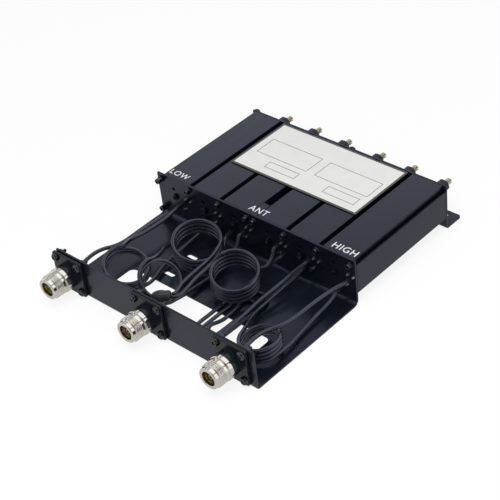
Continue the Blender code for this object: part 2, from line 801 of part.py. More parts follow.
boot_run = BOOT_TO - BOOT_FROM
boot_length = boot_run.length
boot_profile = [
    (0.0, boot_length),
    (BOOT_R * 0.60, boot_length),
    (BOOT_R * 0.92, boot_length * 0.86),
    (BOOT_R, boot_length * 0.60),
    (BOOT_R * 0.92, boot_length * 0.30),
    (BOOT_R * 0.66, boot_length * 0.08),
    (BOOT_R * 0.30, 0.0),
    (0.0, 0.0),
]
boot_turn = boot_run.to_track_quat("Z", "Y").to_matrix().to_4x4()
show(
    "ant_junction_boot",
    lathe(boot_profile, 12, boot_turn, BOOT_FROM - ORIGIN),
    JACKET,
    (0, 0, 0),
    True,
)

lead_side = boot_run.cross(Vector((0, 0, 1))).normalized() * (CABLE_R + GAP)
lead_front = BOOT_TO + boot_run.normalized() * GAP
lead_reach = boot_run.normalized() * (2 * CABLE_R)
cord(
    "line_three_ant",
    [lead_front - lead_side, lead_front + lead_reach / 2 - lead_side]
    + route(
        [
            (0.0904, 0.0262, 0.0194),
            (0.0884, 0.0320, 0.0194),
            (0.0872, 0.0400, 0.0195),
            (0.0860, 0.0520, 0.0193),
            (0.0848, 0.0600, 0.0186),
            (0.0826, 0.0680, 0.0176),
        ]
    )
    + coil((0.0642, 0.0724, 0.0200), 0.0169, (0.25, -0.18), 8, 4.08, 1)
    + at_bush("three"),
    CABLE_R,
    JACKET,
)
cord(
    "line_ant_four",
    [lead_front + lead_side, lead_front + lead_reach + lead_side]
    + route(
        [
            (0.0956, 0.0244, 0.0196),
            (0.0944, 0.0320, 0.0196),
            (0.0924, 0.0420, 0.0198),
            (0.0918, 0.0520, 0.0204),
            (0.0922, 0.0600, 0.0222),
        ]
    )
    + coil((0.1094, 0.0621, 0.0204), 0.0162, (0.20, -0.20), 165, 4.2, -1, pitch=0.0030)
    + route([(0.1160, 0.0840, 0.0124), (0.1162, 0.0920, 0.0160)])
    + at_bush("four"),
    CABLE_R,
    JACKET,
)
floor = SHEET + CABLE_R + GAP / 2


def turn_back(across, along, radius, start, rise=(0.0, 0.0), steps=6):
    """Half turn of a cable in the tray, counter-clockwise from the given side."""
    spots = []
    for k in range(steps + 1):
        angle = math.radians(start + 180 * k / steps)
        lift = rise[0] + (rise[1] - rise[0]) * k / steps
        spot = (across + radius * math.cos(angle), along + radius * math.sin(angle), floor + lift)
        spots.append(Vector(spot))
    return spots


cord(
    "line_four_five",
    at_bush("four_out")[::-1]
    + route(
        [
            (0.1170, 0.0915, 0.0122),
            (0.1134, 0.0840, 0.0080),
            (0.1114, 0.0760, 0.0044),
            (0.1107, 0.0670, floor),
        ]
    )
    + turn_back(0.1216, 0.0222, 0.0111, 180)
    + route([(0.1336, 0.0480, floor)])
    + turn_back(0.1249, 0.0610, 0.0091, 0)
    + turn_back(0.1221, 0.0222, 0.0064, 180)
    + route([(0.1292, 0.0440, floor)])
    + turn_back(0.1250, 0.0550, 0.0052, 0)
    + route([(0.1214, 0.0430, floor), (0.1216, 0.0350, floor), (0.1216, 0.0290, 0.0046)])
    + turn_back(0.1284, 0.0238, 0.0068, 180, (0.0034, 0.0049))
    + route(
        [
            (0.1349, 0.0420, 0.0090),
            (0.1344, 0.0580, 0.0101),
            (0.1361, 0.0717, 0.0120),
            (0.1383, 0.0848, 0.0150),
        ]
    )
    + at_bush("five"),
    CABLE_R,
    JACKET,
)
cord(
    "line_five_six",
    at_bush("five_out")[::-1]
    + route(
        [
            (0.1382, 0.0900, 0.0108),
            (0.1364, 0.0800, 0.0080),
            (0.1358, 0.0660, 0.0062),
            (0.1366, 0.0530, 0.0060),
            (0.1398, 0.0430, 0.0074),
            (0.1436, 0.0350, 0.0094),
            (0.1468, 0.0280, 0.0112),
        ]
    )
    + coil((0.1618, 0.0275, 0.0130), 0.0137, (-0.15, -0.05), 202, 3.44, 1)
    + route(
        [
            (0.1750, 0.0390, 0.0046),
            (0.1726, 0.0570, 0.0042),
            (0.1713, 0.0704, 0.0050),
            (0.1709, 0.0861, 0.0070),
        ]
    )
    + at_bush("six"),
    CABLE_R,
    JACKET,
)
cord(
    "lead_high",
    at_pin(2, PIN_END)
    + route(
        [
            (0.1639, 0.0130, 0.0174),
            (0.1634, 0.0200, 0.0180),
            (0.1640, 0.0270, 0.0182),
            (0.1663, 0.0340, 0.0182),
            (0.1690, 0.0400, 0.0182),
            (0.1710, 0.0480, 0.0182),
            (0.1722, 0.0720, 0.0182),
            (0.1742, 0.0870, 0.0188),
        ]
    )
    + at_bush("six_out"),
    CABLE_R,
    JACKET,
)
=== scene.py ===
"""Looks of the six-cavity rf duplexer: the enamelled tray and cavity block, three nickel
plated jacks, the harness of tuned cable lengths, the tuning rods and the label."""

import math

import bmesh
import bpy
from mathutils import Matrix, Vector


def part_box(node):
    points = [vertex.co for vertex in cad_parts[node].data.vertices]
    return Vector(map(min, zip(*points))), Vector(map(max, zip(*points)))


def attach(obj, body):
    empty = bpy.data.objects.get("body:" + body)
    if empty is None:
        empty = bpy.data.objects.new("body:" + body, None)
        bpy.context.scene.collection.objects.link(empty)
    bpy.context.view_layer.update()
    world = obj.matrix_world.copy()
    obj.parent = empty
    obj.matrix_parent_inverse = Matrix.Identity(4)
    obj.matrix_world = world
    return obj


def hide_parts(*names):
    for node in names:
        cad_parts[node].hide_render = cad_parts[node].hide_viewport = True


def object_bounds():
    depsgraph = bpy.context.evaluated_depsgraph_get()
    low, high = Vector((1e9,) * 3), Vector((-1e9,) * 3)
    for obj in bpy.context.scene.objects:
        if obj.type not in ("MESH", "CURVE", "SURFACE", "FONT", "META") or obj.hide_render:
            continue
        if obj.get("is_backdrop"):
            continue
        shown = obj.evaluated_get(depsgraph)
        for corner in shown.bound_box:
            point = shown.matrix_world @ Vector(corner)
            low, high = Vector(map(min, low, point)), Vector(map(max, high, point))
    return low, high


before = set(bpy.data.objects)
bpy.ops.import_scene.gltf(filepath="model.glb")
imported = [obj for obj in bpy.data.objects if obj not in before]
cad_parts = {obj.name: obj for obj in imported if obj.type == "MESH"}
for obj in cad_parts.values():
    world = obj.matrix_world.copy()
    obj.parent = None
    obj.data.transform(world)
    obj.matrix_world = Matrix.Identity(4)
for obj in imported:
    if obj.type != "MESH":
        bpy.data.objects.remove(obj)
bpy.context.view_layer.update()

# Tray frame: x from the tray's left edge, y from the panel's front face, z from underneath
TRAY_WIDTH = 0.1830
tray_low, tray_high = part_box("chassis_tray")
ZERO = Vector((tray_high.x - TRAY_WIDTH, tray_low.y, tray_low.z))

# Sheet metal: its opening by left, right, front and rear edge and the corners' radius
SHEET = 0.0015
SHEET_RIM = 0.00018
FOLD_STEPS = 8
PANEL_HEIGHT = 0.0310
PANEL_FOLD = 0.0010
DIVIDER_Y = 0.100
DIVIDER_FOLD = 0.0035
BLOCK_TOP = 0.037
BRIDGE_END = 0.0155
OPENING = (0.0284, 0.1588, 0.0125, 0.0402, 0.0045)
SLOT_LENGTH = 0.0092
SLOT_WIDTH = 0.0036
SLOT_END_R = SLOT_WIDTH * 0.49
SLOT_X = 0.0558
SLOT_YS = (0.0502, 0.0730)
REAR_Y = 0.202
REAR_FOLD = 0.0010
FOOT_LENGTH = 0.016
FOOT_CORNER = 0.0020
FOOT_SLOT_LENGTH = 0.0060
FOOT_SLOT_IN = 0.0096
FOOT_SLOT_BACK = 0.0100
ROD_HOLE_R = 0.0025

# Cavities
TUBE = 0.0254
TUBE_WALL = 0.0012
TUBE_CORNER = 0.0005
TUBE_CORNER_STEPS = 4
TUBE_BOTTOM = BLOCK_TOP - TUBE
LEFTS = (0.0061, 0.0353, 0.0645, 0.0965, 0.1257, 0.1549)
CENTRES = tuple(left + TUBE / 2 for left in LEFTS)
CRADLE_LEFT = 0.0034
CRADLE_BOTTOM = 0.0098
CRADLE_WALL_TOP = 0.0326
BLOCK_FRONT = 0.1018
BLOCK_REAR = 0.2002
BLOCK_MIDDLE = (BLOCK_FRONT + BLOCK_REAR) / 2
BLOCK_LENGTH = BLOCK_REAR - BLOCK_FRONT
ROD_Z = 0.0213

# Jacks: name, place across the panel, height of the axis
JACKS = (("low", 0.0123, 0.0156), ("ant", 0.0900, 0.0164), ("high", 0.1643, 0.0168))
JACK_HOLE_R = 0.0053
SCREW_HOLE_R = 0.0019
FLANGE = 0.0286
FLANGE_THICK = 0.0022
FLANGE_SCREW = (0.0109, 0.0106)
FLANGE_CORNERS = [(x * FLANGE_SCREW[0], z * FLANGE_SCREW[1]) for x in (-1, 1) for z in (-1, 1)]

# Room between parts that stand on each other
GAP = 0.0003

# Divider hardware: trimmers and access holes by their place from each cavity's centre and
# their height, the cap screws along the top and the two screws beside the left edge
TRIMMER = (-0.0022, 0.0214)
ACCESS_HOLE = (-0.0034, 0.0278)
ACCESS_HOLE_R = 0.0014
LOWER_SCREW = (0.0060, 0.0134)
CAP_XS = (0.0311, 0.0603, 0.0875, 0.0945, 0.1218, 0.1509, 0.1789)
CAP_Z = 0.0326
EDGE_SCREWS = ((0.0036, 0.0322), (0.0036, 0.0080))

# Harness
CABLE_R = 0.0014
CABLE_PITCH = 0.00315
COIL_STEPS = 24
FLOOR = SHEET + CABLE_R + GAP / 2

# Turns that stand a part made along Z across, upright, to the front and to the rear
TO_X = Matrix(((0, 0, 1, 0), (1, 0, 0, 0), (0, 1, 0, 0), (0, 0, 0, 1)))
TO_Z = Matrix.Identity(4)
TO_FRONT = Matrix.Rotation(math.radians(90), 4, "X")
TO_REAR = Matrix.Rotation(math.radians(-90), 4, "X")

# Points closer than this are one point
WELD = 0.000002

# Most of a noise lies between these two levels
NOISE_LOW = 0.3
NOISE_HIGH = 0.7


# Colours and nodes

SHADER = "Principled BSDF"


def linear(code):
    """sRGB hex colour as linear light with full alpha."""
    levels = [int(code[k : k + 2], 16) / 255 for k in (0, 2, 4)]
    light = [c / 12.92 if c <= 0.04045 else ((c + 0.055) / 1.055) ** 2.4 for c in levels]
    return (*light, 1.0)


def add(tree, kind, inputs, **settings):
    """Node of a tree with its settings, its inputs given as values or as links."""
    node = tree.nodes.new("ShaderNode" + kind)
    for key, value in settings.items():
        setattr(node, key, value)
    for key, value in inputs.items():
        if isinstance(value, bpy.types.NodeSocket):
            tree.links.new(value, node.inputs[key])
        else:
            node.inputs[key].default_value = value
    return node


def material(name, values):
    """Material with its shader's own sockets set."""
    made = bpy.data.materials.new(name)
    made.use_nodes = True
    for key, value in values.items():
        made.node_tree.nodes[SHADER].inputs[key].default_value = value
    return made


def feed(surface, output, key):
    """Links an output to a socket of the surface's shader."""
    tree = surface.node_tree
    tree.links.new(output, tree.nodes[SHADER].inputs[key])


def grain(tree, across_mm, detail=3.0, stretch=(1.0, 1.0, 1.0)):
    """Noise whose cells are about so many millimetres across, drawn out along an axis."""
    spot = add(tree, "TexCoord", {})
    mapped = add(
        tree, "Mapping", {"Vector": spot.outputs["Object"], "Scale": stretch}, vector_type="POINT"
    )
    cells = {"Vector": mapped.outputs["Vector"], "Scale": 1000.0 / across_mm, "Detail": detail}
    return add(tree, "TexNoise", cells).outputs["Fac"]


def spread(surface, low, high, *cells):
    """Runs a noise of the given cells between two levels into the roughness."""
    tree = surface.node_tree
    span = {"Value": grain(tree, *cells), "From Min": NOISE_LOW, "From Max": NOISE_HIGH}
    level = add(tree, "MapRange", {**span, "To Min": low, "To Max": high})
    feed(surface, level.outputs["Result"], "Roughness")


def tint(surface, low, high, *cells):
    """Runs a noise of the given cells between two colours into the base colour."""
    tree = surface.node_tree
    ramp = add(tree, "ValToRGB", {"Fac": grain(tree, *cells)})
    stops = zip(ramp.color_ramp.elements, (NOISE_LOW, NOISE_HIGH), (low, high))
    for element, level, code in stops:
        element.position = level
        element.color = linear(code)
    feed(surface, ramp.outputs["Color"], "Base Color")


def relief(surface, height_mm, *cells):
    """Bump of a real height, by a noise of the given cells."""
    tree = surface.node_tree
    bump = add(tree, "Bump", {"Height": grain(tree, *cells), "Distance": height_mm / 1000})
    feed(surface, bump.outputs["Normal"], "Normal")


# Steel sheet with black enamel sprayed on and baked: an even satin gloss over a near-black
# colour, with the low waves of orange peel a millimetre or two across
ENAMEL = material("baked_black_enamel", {"IOR": 1.54, "Specular Tint": linear("cfdaff")})
tint(ENAMEL, "0d1118", "121720", 38.0)
spread(ENAMEL, 0.19, 0.25, 7.0)
relief(ENAMEL, 0.012, 1.4, 2.0)

# Drawn square tube under the same enamel, with faint draw lines left along its length,
# drawn coarser than they are, so that they show
TUBE_ENAMEL = material("enamelled_drawn_tube", {"IOR": 1.6, "Specular Tint": linear("cfdaff")})
tint(TUBE_ENAMEL, "0c0f17", "11151e", 30.0)
spread(TUBE_ENAMEL, 0.22, 0.28, 3.0, 2.0, (1.0, 0.06, 1.0))
relief(TUBE_ENAMEL, 0.010, 1.2, 2.0, (1.0, 0.35, 1.0))

# Black oxide on turned and pressed steel: an oiled black with a cold sheen
OXIDE = material("black_oxide_steel", {"IOR": 1.42})
tint(OXIDE, "0f1217", "181c24", 2.2)
spread(OXIDE, 0.18, 0.28, 0.8)
relief(OXIDE, 0.006, 0.5, 2.0)

# Zinc plate dyed black on the small screws: a dark metal that still glints
ZINC = material("black_zinc_plate", {"Metallic": 1.0})
tint(ZINC, "474b53", "5e626a", 1.6)
spread(ZINC, 0.20, 0.32, 0.7)
relief(ZINC, 0.006, 0.5, 2.0)

# Bright nickel plate over turned brass: a warm grey mirror broken by the rings of turning,
# drawn coarser than they are, so that they show
NICKEL = material("nickel_plated_brass", {"Metallic": 1.0})
tint(NICKEL, "e3dfd7", "efebe4", 4.0)
spread(NICKEL, 0.08, 0.14, 1.2)
relief(NICKEL, 0.004, 0.22, 1.0, (0.02, 1.0, 0.02))

# Gold flash on the jacks' contacts and inside their mouths: a pale yellow, dulled by wear
GOLD = material("gold_flashed_contact", {"Metallic": 1.0})
tint(GOLD, "b8ac80", "d2c79e", 1.5)
spread(GOLD, 0.22, 0.34, 0.6)

# Free-turning brass, screw-cut and left bare: pale yellow with a light tarnish and the
# rings of turning, which are drawn coarser than they are
BRASS = material("bare_brass_rod", {"Metallic": 1.0})
tint(BRASS, "ded4b4", "f2ebd6", 2.5)
spread(BRASS, 0.24, 0.40, 0.9)
relief(BRASS, 0.004, 0.25, 1.0, (0.05, 1.0, 0.05))

# Extruded PVC jacket of thin coaxial cable: smooth black, with a soft band of light along
# the top and dark sides
JACKET = material(
    "extruded_pvc_jacket",
    {"IOR": 1.52, "Specular IOR Level": 0.90, "Specular Tint": linear("d8e2ff")},
)
tint(JACKET, "1a1d22", "212429", 6.0)
spread(JACKET, 0.18, 0.24, 5.0)
relief(JACKET, 0.012, 4.0, 1.0)

# Shrunk polyolefin boot over the junction: softer sheen, wrinkled a little by the heat
BOOT = material("heat_shrunk_polyolefin", {"IOR": 1.5})
tint(BOOT, "24262b", "2f3238", 3.0)
spread(BOOT, 0.34, 0.46, 1.2)
relief(BOOT, 0.05, 1.1, 3.0)

# Turned PTFE of the jacks' beads: waxy white that lets a little light in
PTFE = material(
    "turned_ptfe",
    {"IOR": 1.35, "Subsurface Weight": 0.25, "Subsurface Radius": [0.001] * 3, "Subsurface Scale": 1.0},
)
tint(PTFE, "dcd8cc", "ebe8df", 1.5)
spread(PTFE, 0.40, 0.52, 0.5)

# Polyester label printed by screen: a silver grey margin round an off-white face
MARGIN_INK = material("silver_grey_label_margin", {"IOR": 1.5})
tint(MARGIN_INK, "4a4846", "565452", 0.8)
spread(MARGIN_INK, 0.40, 0.50, 2.0)

FACE_INK = material("off_white_polyester_label", {"IOR": 1.5})
tint(FACE_INK, "e1e1df", "e5e5e3", 9.0)
spread(FACE_INK, 0.42, 0.52, 3.0)
relief(FACE_INK, 0.006, 2.4, 2.0)

# Grey ink of the frames on the label's face
LINE_INK = material("grey_line_ink", {"IOR": 1.5, "Roughness": 0.5})
tint(LINE_INK, "55565a", "66676b", 0.6)

# White epoxy ink of the words, screened on the enamel and a little thin in places
WORD_INK = material("white_epoxy_ink", {"IOR": 1.5, "Roughness": 0.55})
tint(WORD_INK, "d4d6da", "f2f3f5", 0.7)

# Tin and lead solder, cooled with a dull grain
SOLDER = material("dull_solder", {"Metallic": 1.0})
tint(SOLDER, "9c9c98", "c0c0bb", 0.6)
spread(SOLDER, 0.30, 0.48, 0.4)
relief(SOLDER, 0.02, 0.5)

# Tin plate on the small pins, gone grey in the air
TINNED = material("grey_tin_plate", {"Metallic": 1.0})
tint(TINNED, "868a92", "a2a6ae", 0.8)
spread(TINNED, 0.24, 0.36, 0.4)

# Drawn copper wire of the resonators, still bright and pink
COPPER = material("bright_copper_wire", {"Metallic": 1.0})
tint(COPPER, "b9714b", "d48d63", 2.0)
spread(COPPER, 0.24, 0.36, 0.8)


# Shapes

# An eased corner is drawn at these shares of its curve and takes at most so much of a side
EASE_SHARES = (0.0, 0.33, 0.67, 1.0)
EASE_MOST = 0.45

# A thread's flanks rise this much steeper than a plain zigzag, which leaves a flat crest and
# root, and it fades this fast, in shares of its depth a turn, where it runs out
FLANK_SLOPE = 1.3
THREAD_FADE = 1.5

RIM_SEGMENTS = 2
RIM_ANGLE = math.radians(40)
SHARP_ANGLE = math.radians(50)


def arc(across, up, radius, start, end, steps):
    turns = [math.radians(start + (end - start) * k / steps) for k in range(steps + 1)]
    return [(across + radius * math.cos(turn), up + radius * math.sin(turn)) for turn in turns]


def rounded(left, right, low, high, radius, steps=FOLD_STEPS):
    return (
        arc(right - radius, low + radius, radius, -90, 0, steps)
        + arc(right - radius, high - radius, radius, 0, 90, steps)
        + arc(left + radius, high - radius, radius, 90, 180, steps)
        + arc(left + radius, low + radius, radius, 180, 270, steps)
    )


def rectangle(left, right, low, high):
    return [(left, low), (right, low), (right, high), (left, high)]


def disc(across, up, radius, steps=32):
    return arc(across, up, radius, 0, 360 - 360 / steps, steps - 1)


def hexagon(reach):
    return arc(0, 0, reach, 0, 300, 5)


def eased(profile, radius, closed=False):
    """Profile with its corners turned into short curves, but for its open ends."""
    count = len(profile)
    made = []
    for k, (across, up) in enumerate(profile):
        if not closed and k in (0, count - 1):
            made.append((across, up))
            continue
        corner = Vector((across, up))
        before = Vector(profile[k - 1]) - corner
        after = Vector(profile[(k + 1) % count]) - corner
        start = corner + before.normalized() * min(radius, before.length * EASE_MOST)
        end = corner + after.normalized() * min(radius, after.length * EASE_MOST)
        for share in EASE_SHARES:
            spot = start.lerp(corner, share).lerp(corner.lerp(end, share), share)
            made.append((spot.x, spot.y))
    return made


def as_mesh(thing):
    """Final mesh of an object, in world place, with the object taken away."""
    bpy.context.view_layer.update()
    graph = bpy.context.evaluated_depsgraph_get()
    mesh = bpy.data.meshes.new_from_object(thing.evaluated_get(graph))
    mesh.transform(thing.matrix_world)
    bpy.data.objects.remove(thing, do_unlink=True)
    return mesh


def linked(name, data):
    thing = bpy.data.objects.new(name, data)
    bpy.context.scene.collection.objects.link(thing)
    return thing


def cleaned(mesh):
    """Mesh with its doubled points merged and its faces turned outward."""
    body = bmesh.new()
    body.from_mesh(mesh)
    bmesh.ops.remove_doubles(body, verts=body.verts, dist=WELD)
    bmesh.ops.recalc_face_normals(body, faces=body.faces)
    body.to_mesh(mesh)
    body.free()
    return mesh


def prism(outlines, depth, turn=TO_Z, offset=(0, 0, 0)):
    """Outline, or an outline and its holes, filled and given a depth, half of it each way."""
    curve = bpy.data.curves.new("outline", "CURVE")
    curve.dimensions = "2D"
    curve.fill_mode = "BOTH"
    curve.extrude = depth / 2
    for outline in outlines:
        spline = curve.splines.new("POLY")
        spline.points.add(len(outline) - 1)
        for point, (across, up) in zip(spline.points, outline):
            point.co = (across, up, 0.0, 1.0)
        spline.use_cyclic_u = True
    thing = linked("outline", curve)
    thing.matrix_world = Matrix.Translation(offset) @ turn
    return cleaned(as_mesh(thing))


def groove(turns):
    """Depth of a screw thread, 0 on its crest and 1 at its root, by turns along it."""
    share = abs(2.0 * (turns % 1.0) - 1.0)
    return min(1.0, max(0.0, FLANK_SLOPE * share - (FLANK_SLOPE - 1.0) / 2))


def turned(profile, turn=TO_Z, offset=(0, 0, 0), *, steps, closed=False, pitch=None):
    """Profile of (radius, height) turned about Z; a third number cuts a thread that deep."""
    body = bmesh.new()
    rows = []
    for entry in profile:
        radius, height = entry[:2]
        depth = entry[2] if len(entry) > 2 else 0.0
        if radius == 0.0:
            rows.append([body.verts.new((0.0, 0.0, height))])
            continue
        row = []
        for k in range(steps):
            angle = math.tau * k / steps
            reach = radius - (depth * groove(height / pitch - k / steps) if depth else 0.0)
            row.append(body.verts.new((reach * math.cos(angle), reach * math.sin(angle), height)))
        rows.append(row)
    following = rows[1:] + (rows[:1] if closed else [])
    for low, high in zip(rows, following):
        for k in range(steps):
            corners = [low[k % len(low)], low[(k + 1) % len(low)]]
            corners += [high[(k + 1) % len(high)], high[k % len(high)]]
            face = [v for n, v in enumerate(corners) if v not in corners[:n]]
            if len(face) > 2:
                body.faces.new(face)
    bmesh.ops.recalc_face_normals(body, faces=body.faces)
    mesh = bpy.data.meshes.new("turned")
    body.to_mesh(mesh)
    body.free()
    mesh.transform(Matrix.Translation(offset) @ turn)
    return mesh


def thread(radius, start, end, pitch, depth, rows):
    """Threaded stretch of a profile, so many rows a turn, that runs out at both ends."""
    count = max(2, round(abs(end - start) / pitch * rows))
    made = []
    for k in range(count + 1):
        height = start + (end - start) * k / count
        from_end = min(abs(height - start), abs(end - height))
        made.append((radius, height, depth * min(1.0, from_end / pitch * THREAD_FADE)))
    return made


def joined(meshes):
    """One mesh of several loose closed ones."""
    points = []
    faces = []
    for mesh in meshes:
        start = len(points)
        points += [vertex.co.copy() for vertex in mesh.vertices]
        faces += [[start + index for index in face.vertices] for face in mesh.polygons]
    made = bpy.data.meshes.new("joined")
    made.from_pydata(points, [], faces)
    return made


def carved(mesh, tools, operation="DIFFERENCE"):
    """Mesh after an exact Boolean with loose solids that don't meet each other."""
    thing = linked("work", mesh)
    tool = linked("tool", joined(tools))
    boolean = thing.modifiers.new("carve", "BOOLEAN")
    boolean.operation = operation
    boolean.solver = "EXACT"
    boolean.object = tool
    made = cleaned(as_mesh(thing))
    bpy.data.objects.remove(tool, do_unlink=True)
    return made


def slotted(mesh, top, reach, half, deep):
    """Turned piece with a driver's slot across its end."""
    bar = rectangle(-reach, reach, -half, half)
    return carved(mesh, [prism([bar], 2 * deep, offset=(0, 0, top))])


def copied(mesh, way, offset, angle=0.0):
    """Copy of a mesh, turned about its own axis, stood the given way and set in its place."""
    made = mesh.copy()
    made.transform(Matrix.Translation(offset) @ way @ Matrix.Rotation(angle, 4, "Z"))
    return made


def as_final(thing):
    """Mesh of an object with its modifiers applied and cleared."""
    thing.data.set_sharp_from_angle(angle=SHARP_ANGLE)
    bpy.context.view_layer.update()
    graph = bpy.context.evaluated_depsgraph_get()
    mesh = bpy.data.meshes.new_from_object(thing.evaluated_get(graph), depsgraph=graph)
    thing.modifiers.clear()
    return mesh


def shown(name, mesh, surface, node="", body="chassis", rim=0.0):
    """Piece in its place, with eased edges, that rides on a body and stands for a CAD node."""
    mesh.transform(Matrix.Translation(ZERO))
    mesh.materials.clear()
    mesh.materials.append(surface)
    mesh.shade_smooth()
    thing = linked(name, mesh)
    if rim:
        bevel = thing.modifiers.new("rim", "BEVEL")
        bevel.width = rim
        bevel.segments = RIM_SEGMENTS
        bevel.limit_method = "ANGLE"
        bevel.angle_limit = RIM_ANGLE
        bevel.use_clamp_overlap = False
    normals = thing.modifiers.new("normals", "WEIGHTED_NORMAL")
    normals.weight = 100
    thing.data = as_final(thing)
    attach(thing, body)
    if node:
        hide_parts(node)
    return thing


# Sheet metal of the tray and the block

THROUGH = 4 * SHEET


def slot_cut(across, along, width, length):
    """Cutter of a round-ended slot through a sheet that lies flat."""
    left, right = across - width / 2, across + width / 2
    return prism([rounded(left, right, along - length / 2, along + length / 2, SLOT_END_R)], THROUGH)


def bore_cut(spot, radius, steps=32):
    """Cutter of a round hole through a sheet that stands upright."""
    return prism([disc(0, 0, radius, steps)], THROUGH, TO_FRONT, spot)


def along_block(outlines):
    return prism(outlines, BLOCK_LENGTH, TO_FRONT, (0, BLOCK_MIDDLE, 0))


panel_outer = PANEL_FOLD + SHEET
divider_outer = DIVIDER_FOLD + SHEET
divider_rear = DIVIDER_Y + SHEET
side = (
    [(0.0, PANEL_HEIGHT)]
    + arc(panel_outer, panel_outer, panel_outer, 180, 270, FOLD_STEPS)
    + arc(divider_rear - divider_outer, divider_outer, divider_outer, -90, 0, FOLD_STEPS)
    + [(divider_rear, BLOCK_TOP), (DIVIDER_Y, BLOCK_TOP)]
    + arc(DIVIDER_Y - DIVIDER_FOLD, SHEET + DIVIDER_FOLD, DIVIDER_FOLD, 0, -90, FOLD_STEPS)
    + arc(SHEET + PANEL_FOLD, SHEET + PANEL_FOLD, PANEL_FOLD, 270, 180, FOLD_STEPS)
    + [(SHEET, PANEL_HEIGHT)]
)
holes = [prism([rounded(*OPENING)], THROUGH)]
holes += [slot_cut(SLOT_X, slot_y, SLOT_LENGTH, SLOT_WIDTH) for slot_y in SLOT_YS]
for jack, jack_x, jack_z in JACKS:
    holes.append(bore_cut((jack_x, 0, jack_z), JACK_HOLE_R))
    for x, z in FLANGE_CORNERS:
        holes.append(bore_cut((jack_x + x, 0, jack_z + z), SCREW_HOLE_R, steps=16))
for centre in CENTRES:
    spot = (centre + ACCESS_HOLE[0], DIVIDER_Y, ACCESS_HOLE[1])
    holes.append(bore_cut(spot, ACCESS_HOLE_R, steps=20))
tray = prism([side], TRAY_WIDTH, TO_X, (TRAY_WIDTH / 2, 0, 0))
bridge_left = LEFTS[2] + TUBE + GAP
bridge_right = LEFTS[3] - GAP
strip = rectangle(bridge_left, bridge_right, DIVIDER_Y + SHEET / 2, DIVIDER_Y + BRIDGE_END)
bridge = prism([strip], SHEET, offset=(0, 0, BLOCK_TOP - SHEET / 2))
tray = carved(carved(tray, holes), [bridge], "UNION")
shown("tray_sheet", tray, ENAMEL, "chassis_tray", rim=SHEET_RIM)

cradle = [
    (CRADLE_LEFT, CRADLE_BOTTOM), (TRAY_WIDTH, CRADLE_BOTTOM), (TRAY_WIDTH, CRADLE_WALL_TOP),
    (TRAY_WIDTH - SHEET, CRADLE_WALL_TOP), (TRAY_WIDTH - SHEET, CRADLE_BOTTOM + SHEET),
    (CRADLE_LEFT + SHEET, CRADLE_BOTTOM + SHEET), (CRADLE_LEFT + SHEET, CRADLE_WALL_TOP),
    (CRADLE_LEFT, CRADLE_WALL_TOP),
]
cradle_sheet = along_block([cradle])
shown("cradle_sheet", cradle_sheet, ENAMEL, "cavity_cradle", rim=SHEET_RIM)

foot_end = REAR_Y + FOOT_LENGTH
rear_outer = REAR_FOLD + SHEET
rear_front = REAR_Y - SHEET
rear_side = (
    [(rear_front, BLOCK_TOP)]
    + arc(rear_front + rear_outer, rear_outer, rear_outer, 180, 270, FOLD_STEPS)
    + [(foot_end, 0.0), (foot_end, SHEET)]
    + arc(REAR_Y + REAR_FOLD, SHEET + REAR_FOLD, REAR_FOLD, 270, 180, FOLD_STEPS)
    + [(REAR_Y, BLOCK_TOP)]
)
rear_middle = (TRAY_WIDTH + CRADLE_LEFT) / 2
rear = prism([rear_side], TRAY_WIDTH - CRADLE_LEFT, TO_X, (rear_middle, 0, 0))
rear_cuts = [bore_cut((centre, REAR_Y, ROD_Z), ROD_HOLE_R, steps=24) for centre in CENTRES]
for slot_x in (CRADLE_LEFT + FOOT_SLOT_IN, TRAY_WIDTH - FOOT_SLOT_IN):
    rear_cuts.append(slot_cut(slot_x, REAR_Y + FOOT_SLOT_BACK, SLOT_WIDTH, FOOT_SLOT_LENGTH))

# The foot's two corners are cut round
corner_y = foot_end - FOOT_CORNER
beyond = foot_end + SHEET
for edge_x, end_angle, inward in ((CRADLE_LEFT, 180, 1), (TRAY_WIDTH, 0, -1)):
    outside = edge_x - inward * SHEET
    centre_x = edge_x + inward * FOOT_CORNER
    corner = [(edge_x, corner_y), (outside, corner_y), (outside, beyond), (centre_x, beyond)]
    corner += arc(centre_x, corner_y, FOOT_CORNER, 90, end_angle, FOLD_STEPS)[:-1]
    rear_cuts.append(prism([corner], THROUGH))
rear = carved(rear, rear_cuts)
shown("rear_sheet", rear, ENAMEL, "rear_plate", rim=SHEET_RIM)

for number, left in enumerate(LEFTS, 1):
    outer = rounded(left, left + TUBE, TUBE_BOTTOM, BLOCK_TOP, TUBE_CORNER, TUBE_CORNER_STEPS)
    inner = rounded(
        left + TUBE_WALL,
        left + TUBE - TUBE_WALL,
        TUBE_BOTTOM + TUBE_WALL,
        BLOCK_TOP - TUBE_WALL,
        TUBE_CORNER,
        TUBE_CORNER_STEPS,
    )
    tube = along_block([outer, inner[::-1]])
    node = f"cavity_tube_{number}"
    shown(f"square_tube_{number}", tube, TUBE_ENAMEL, node)

# Fasteners

# Screw heads: radius and height, and how far all of them reach into what they stand on
SMALL_HEAD = (0.0017, 0.0011)
CAP_HEAD = (0.0021, 0.0032)
EDGE_HEAD = (0.0023, 0.0048)
FLANGE_HEAD = (0.0031, 0.0024)
REAR_HEAD = (0.0030, 0.0030)
HEAD_ROOT = 0.0004

# Nuts: width over flats, thickness, bore and chamfer
TRIMMER_NUT = (0.0046, 0.0018, 0.00135, 0.0003)
FLANGE_NUT = (0.0054, 0.0022, 0.00132, 0.0004)
LOCK_NUT = (0.0086, 0.0050, 0.0025, 0.0006)

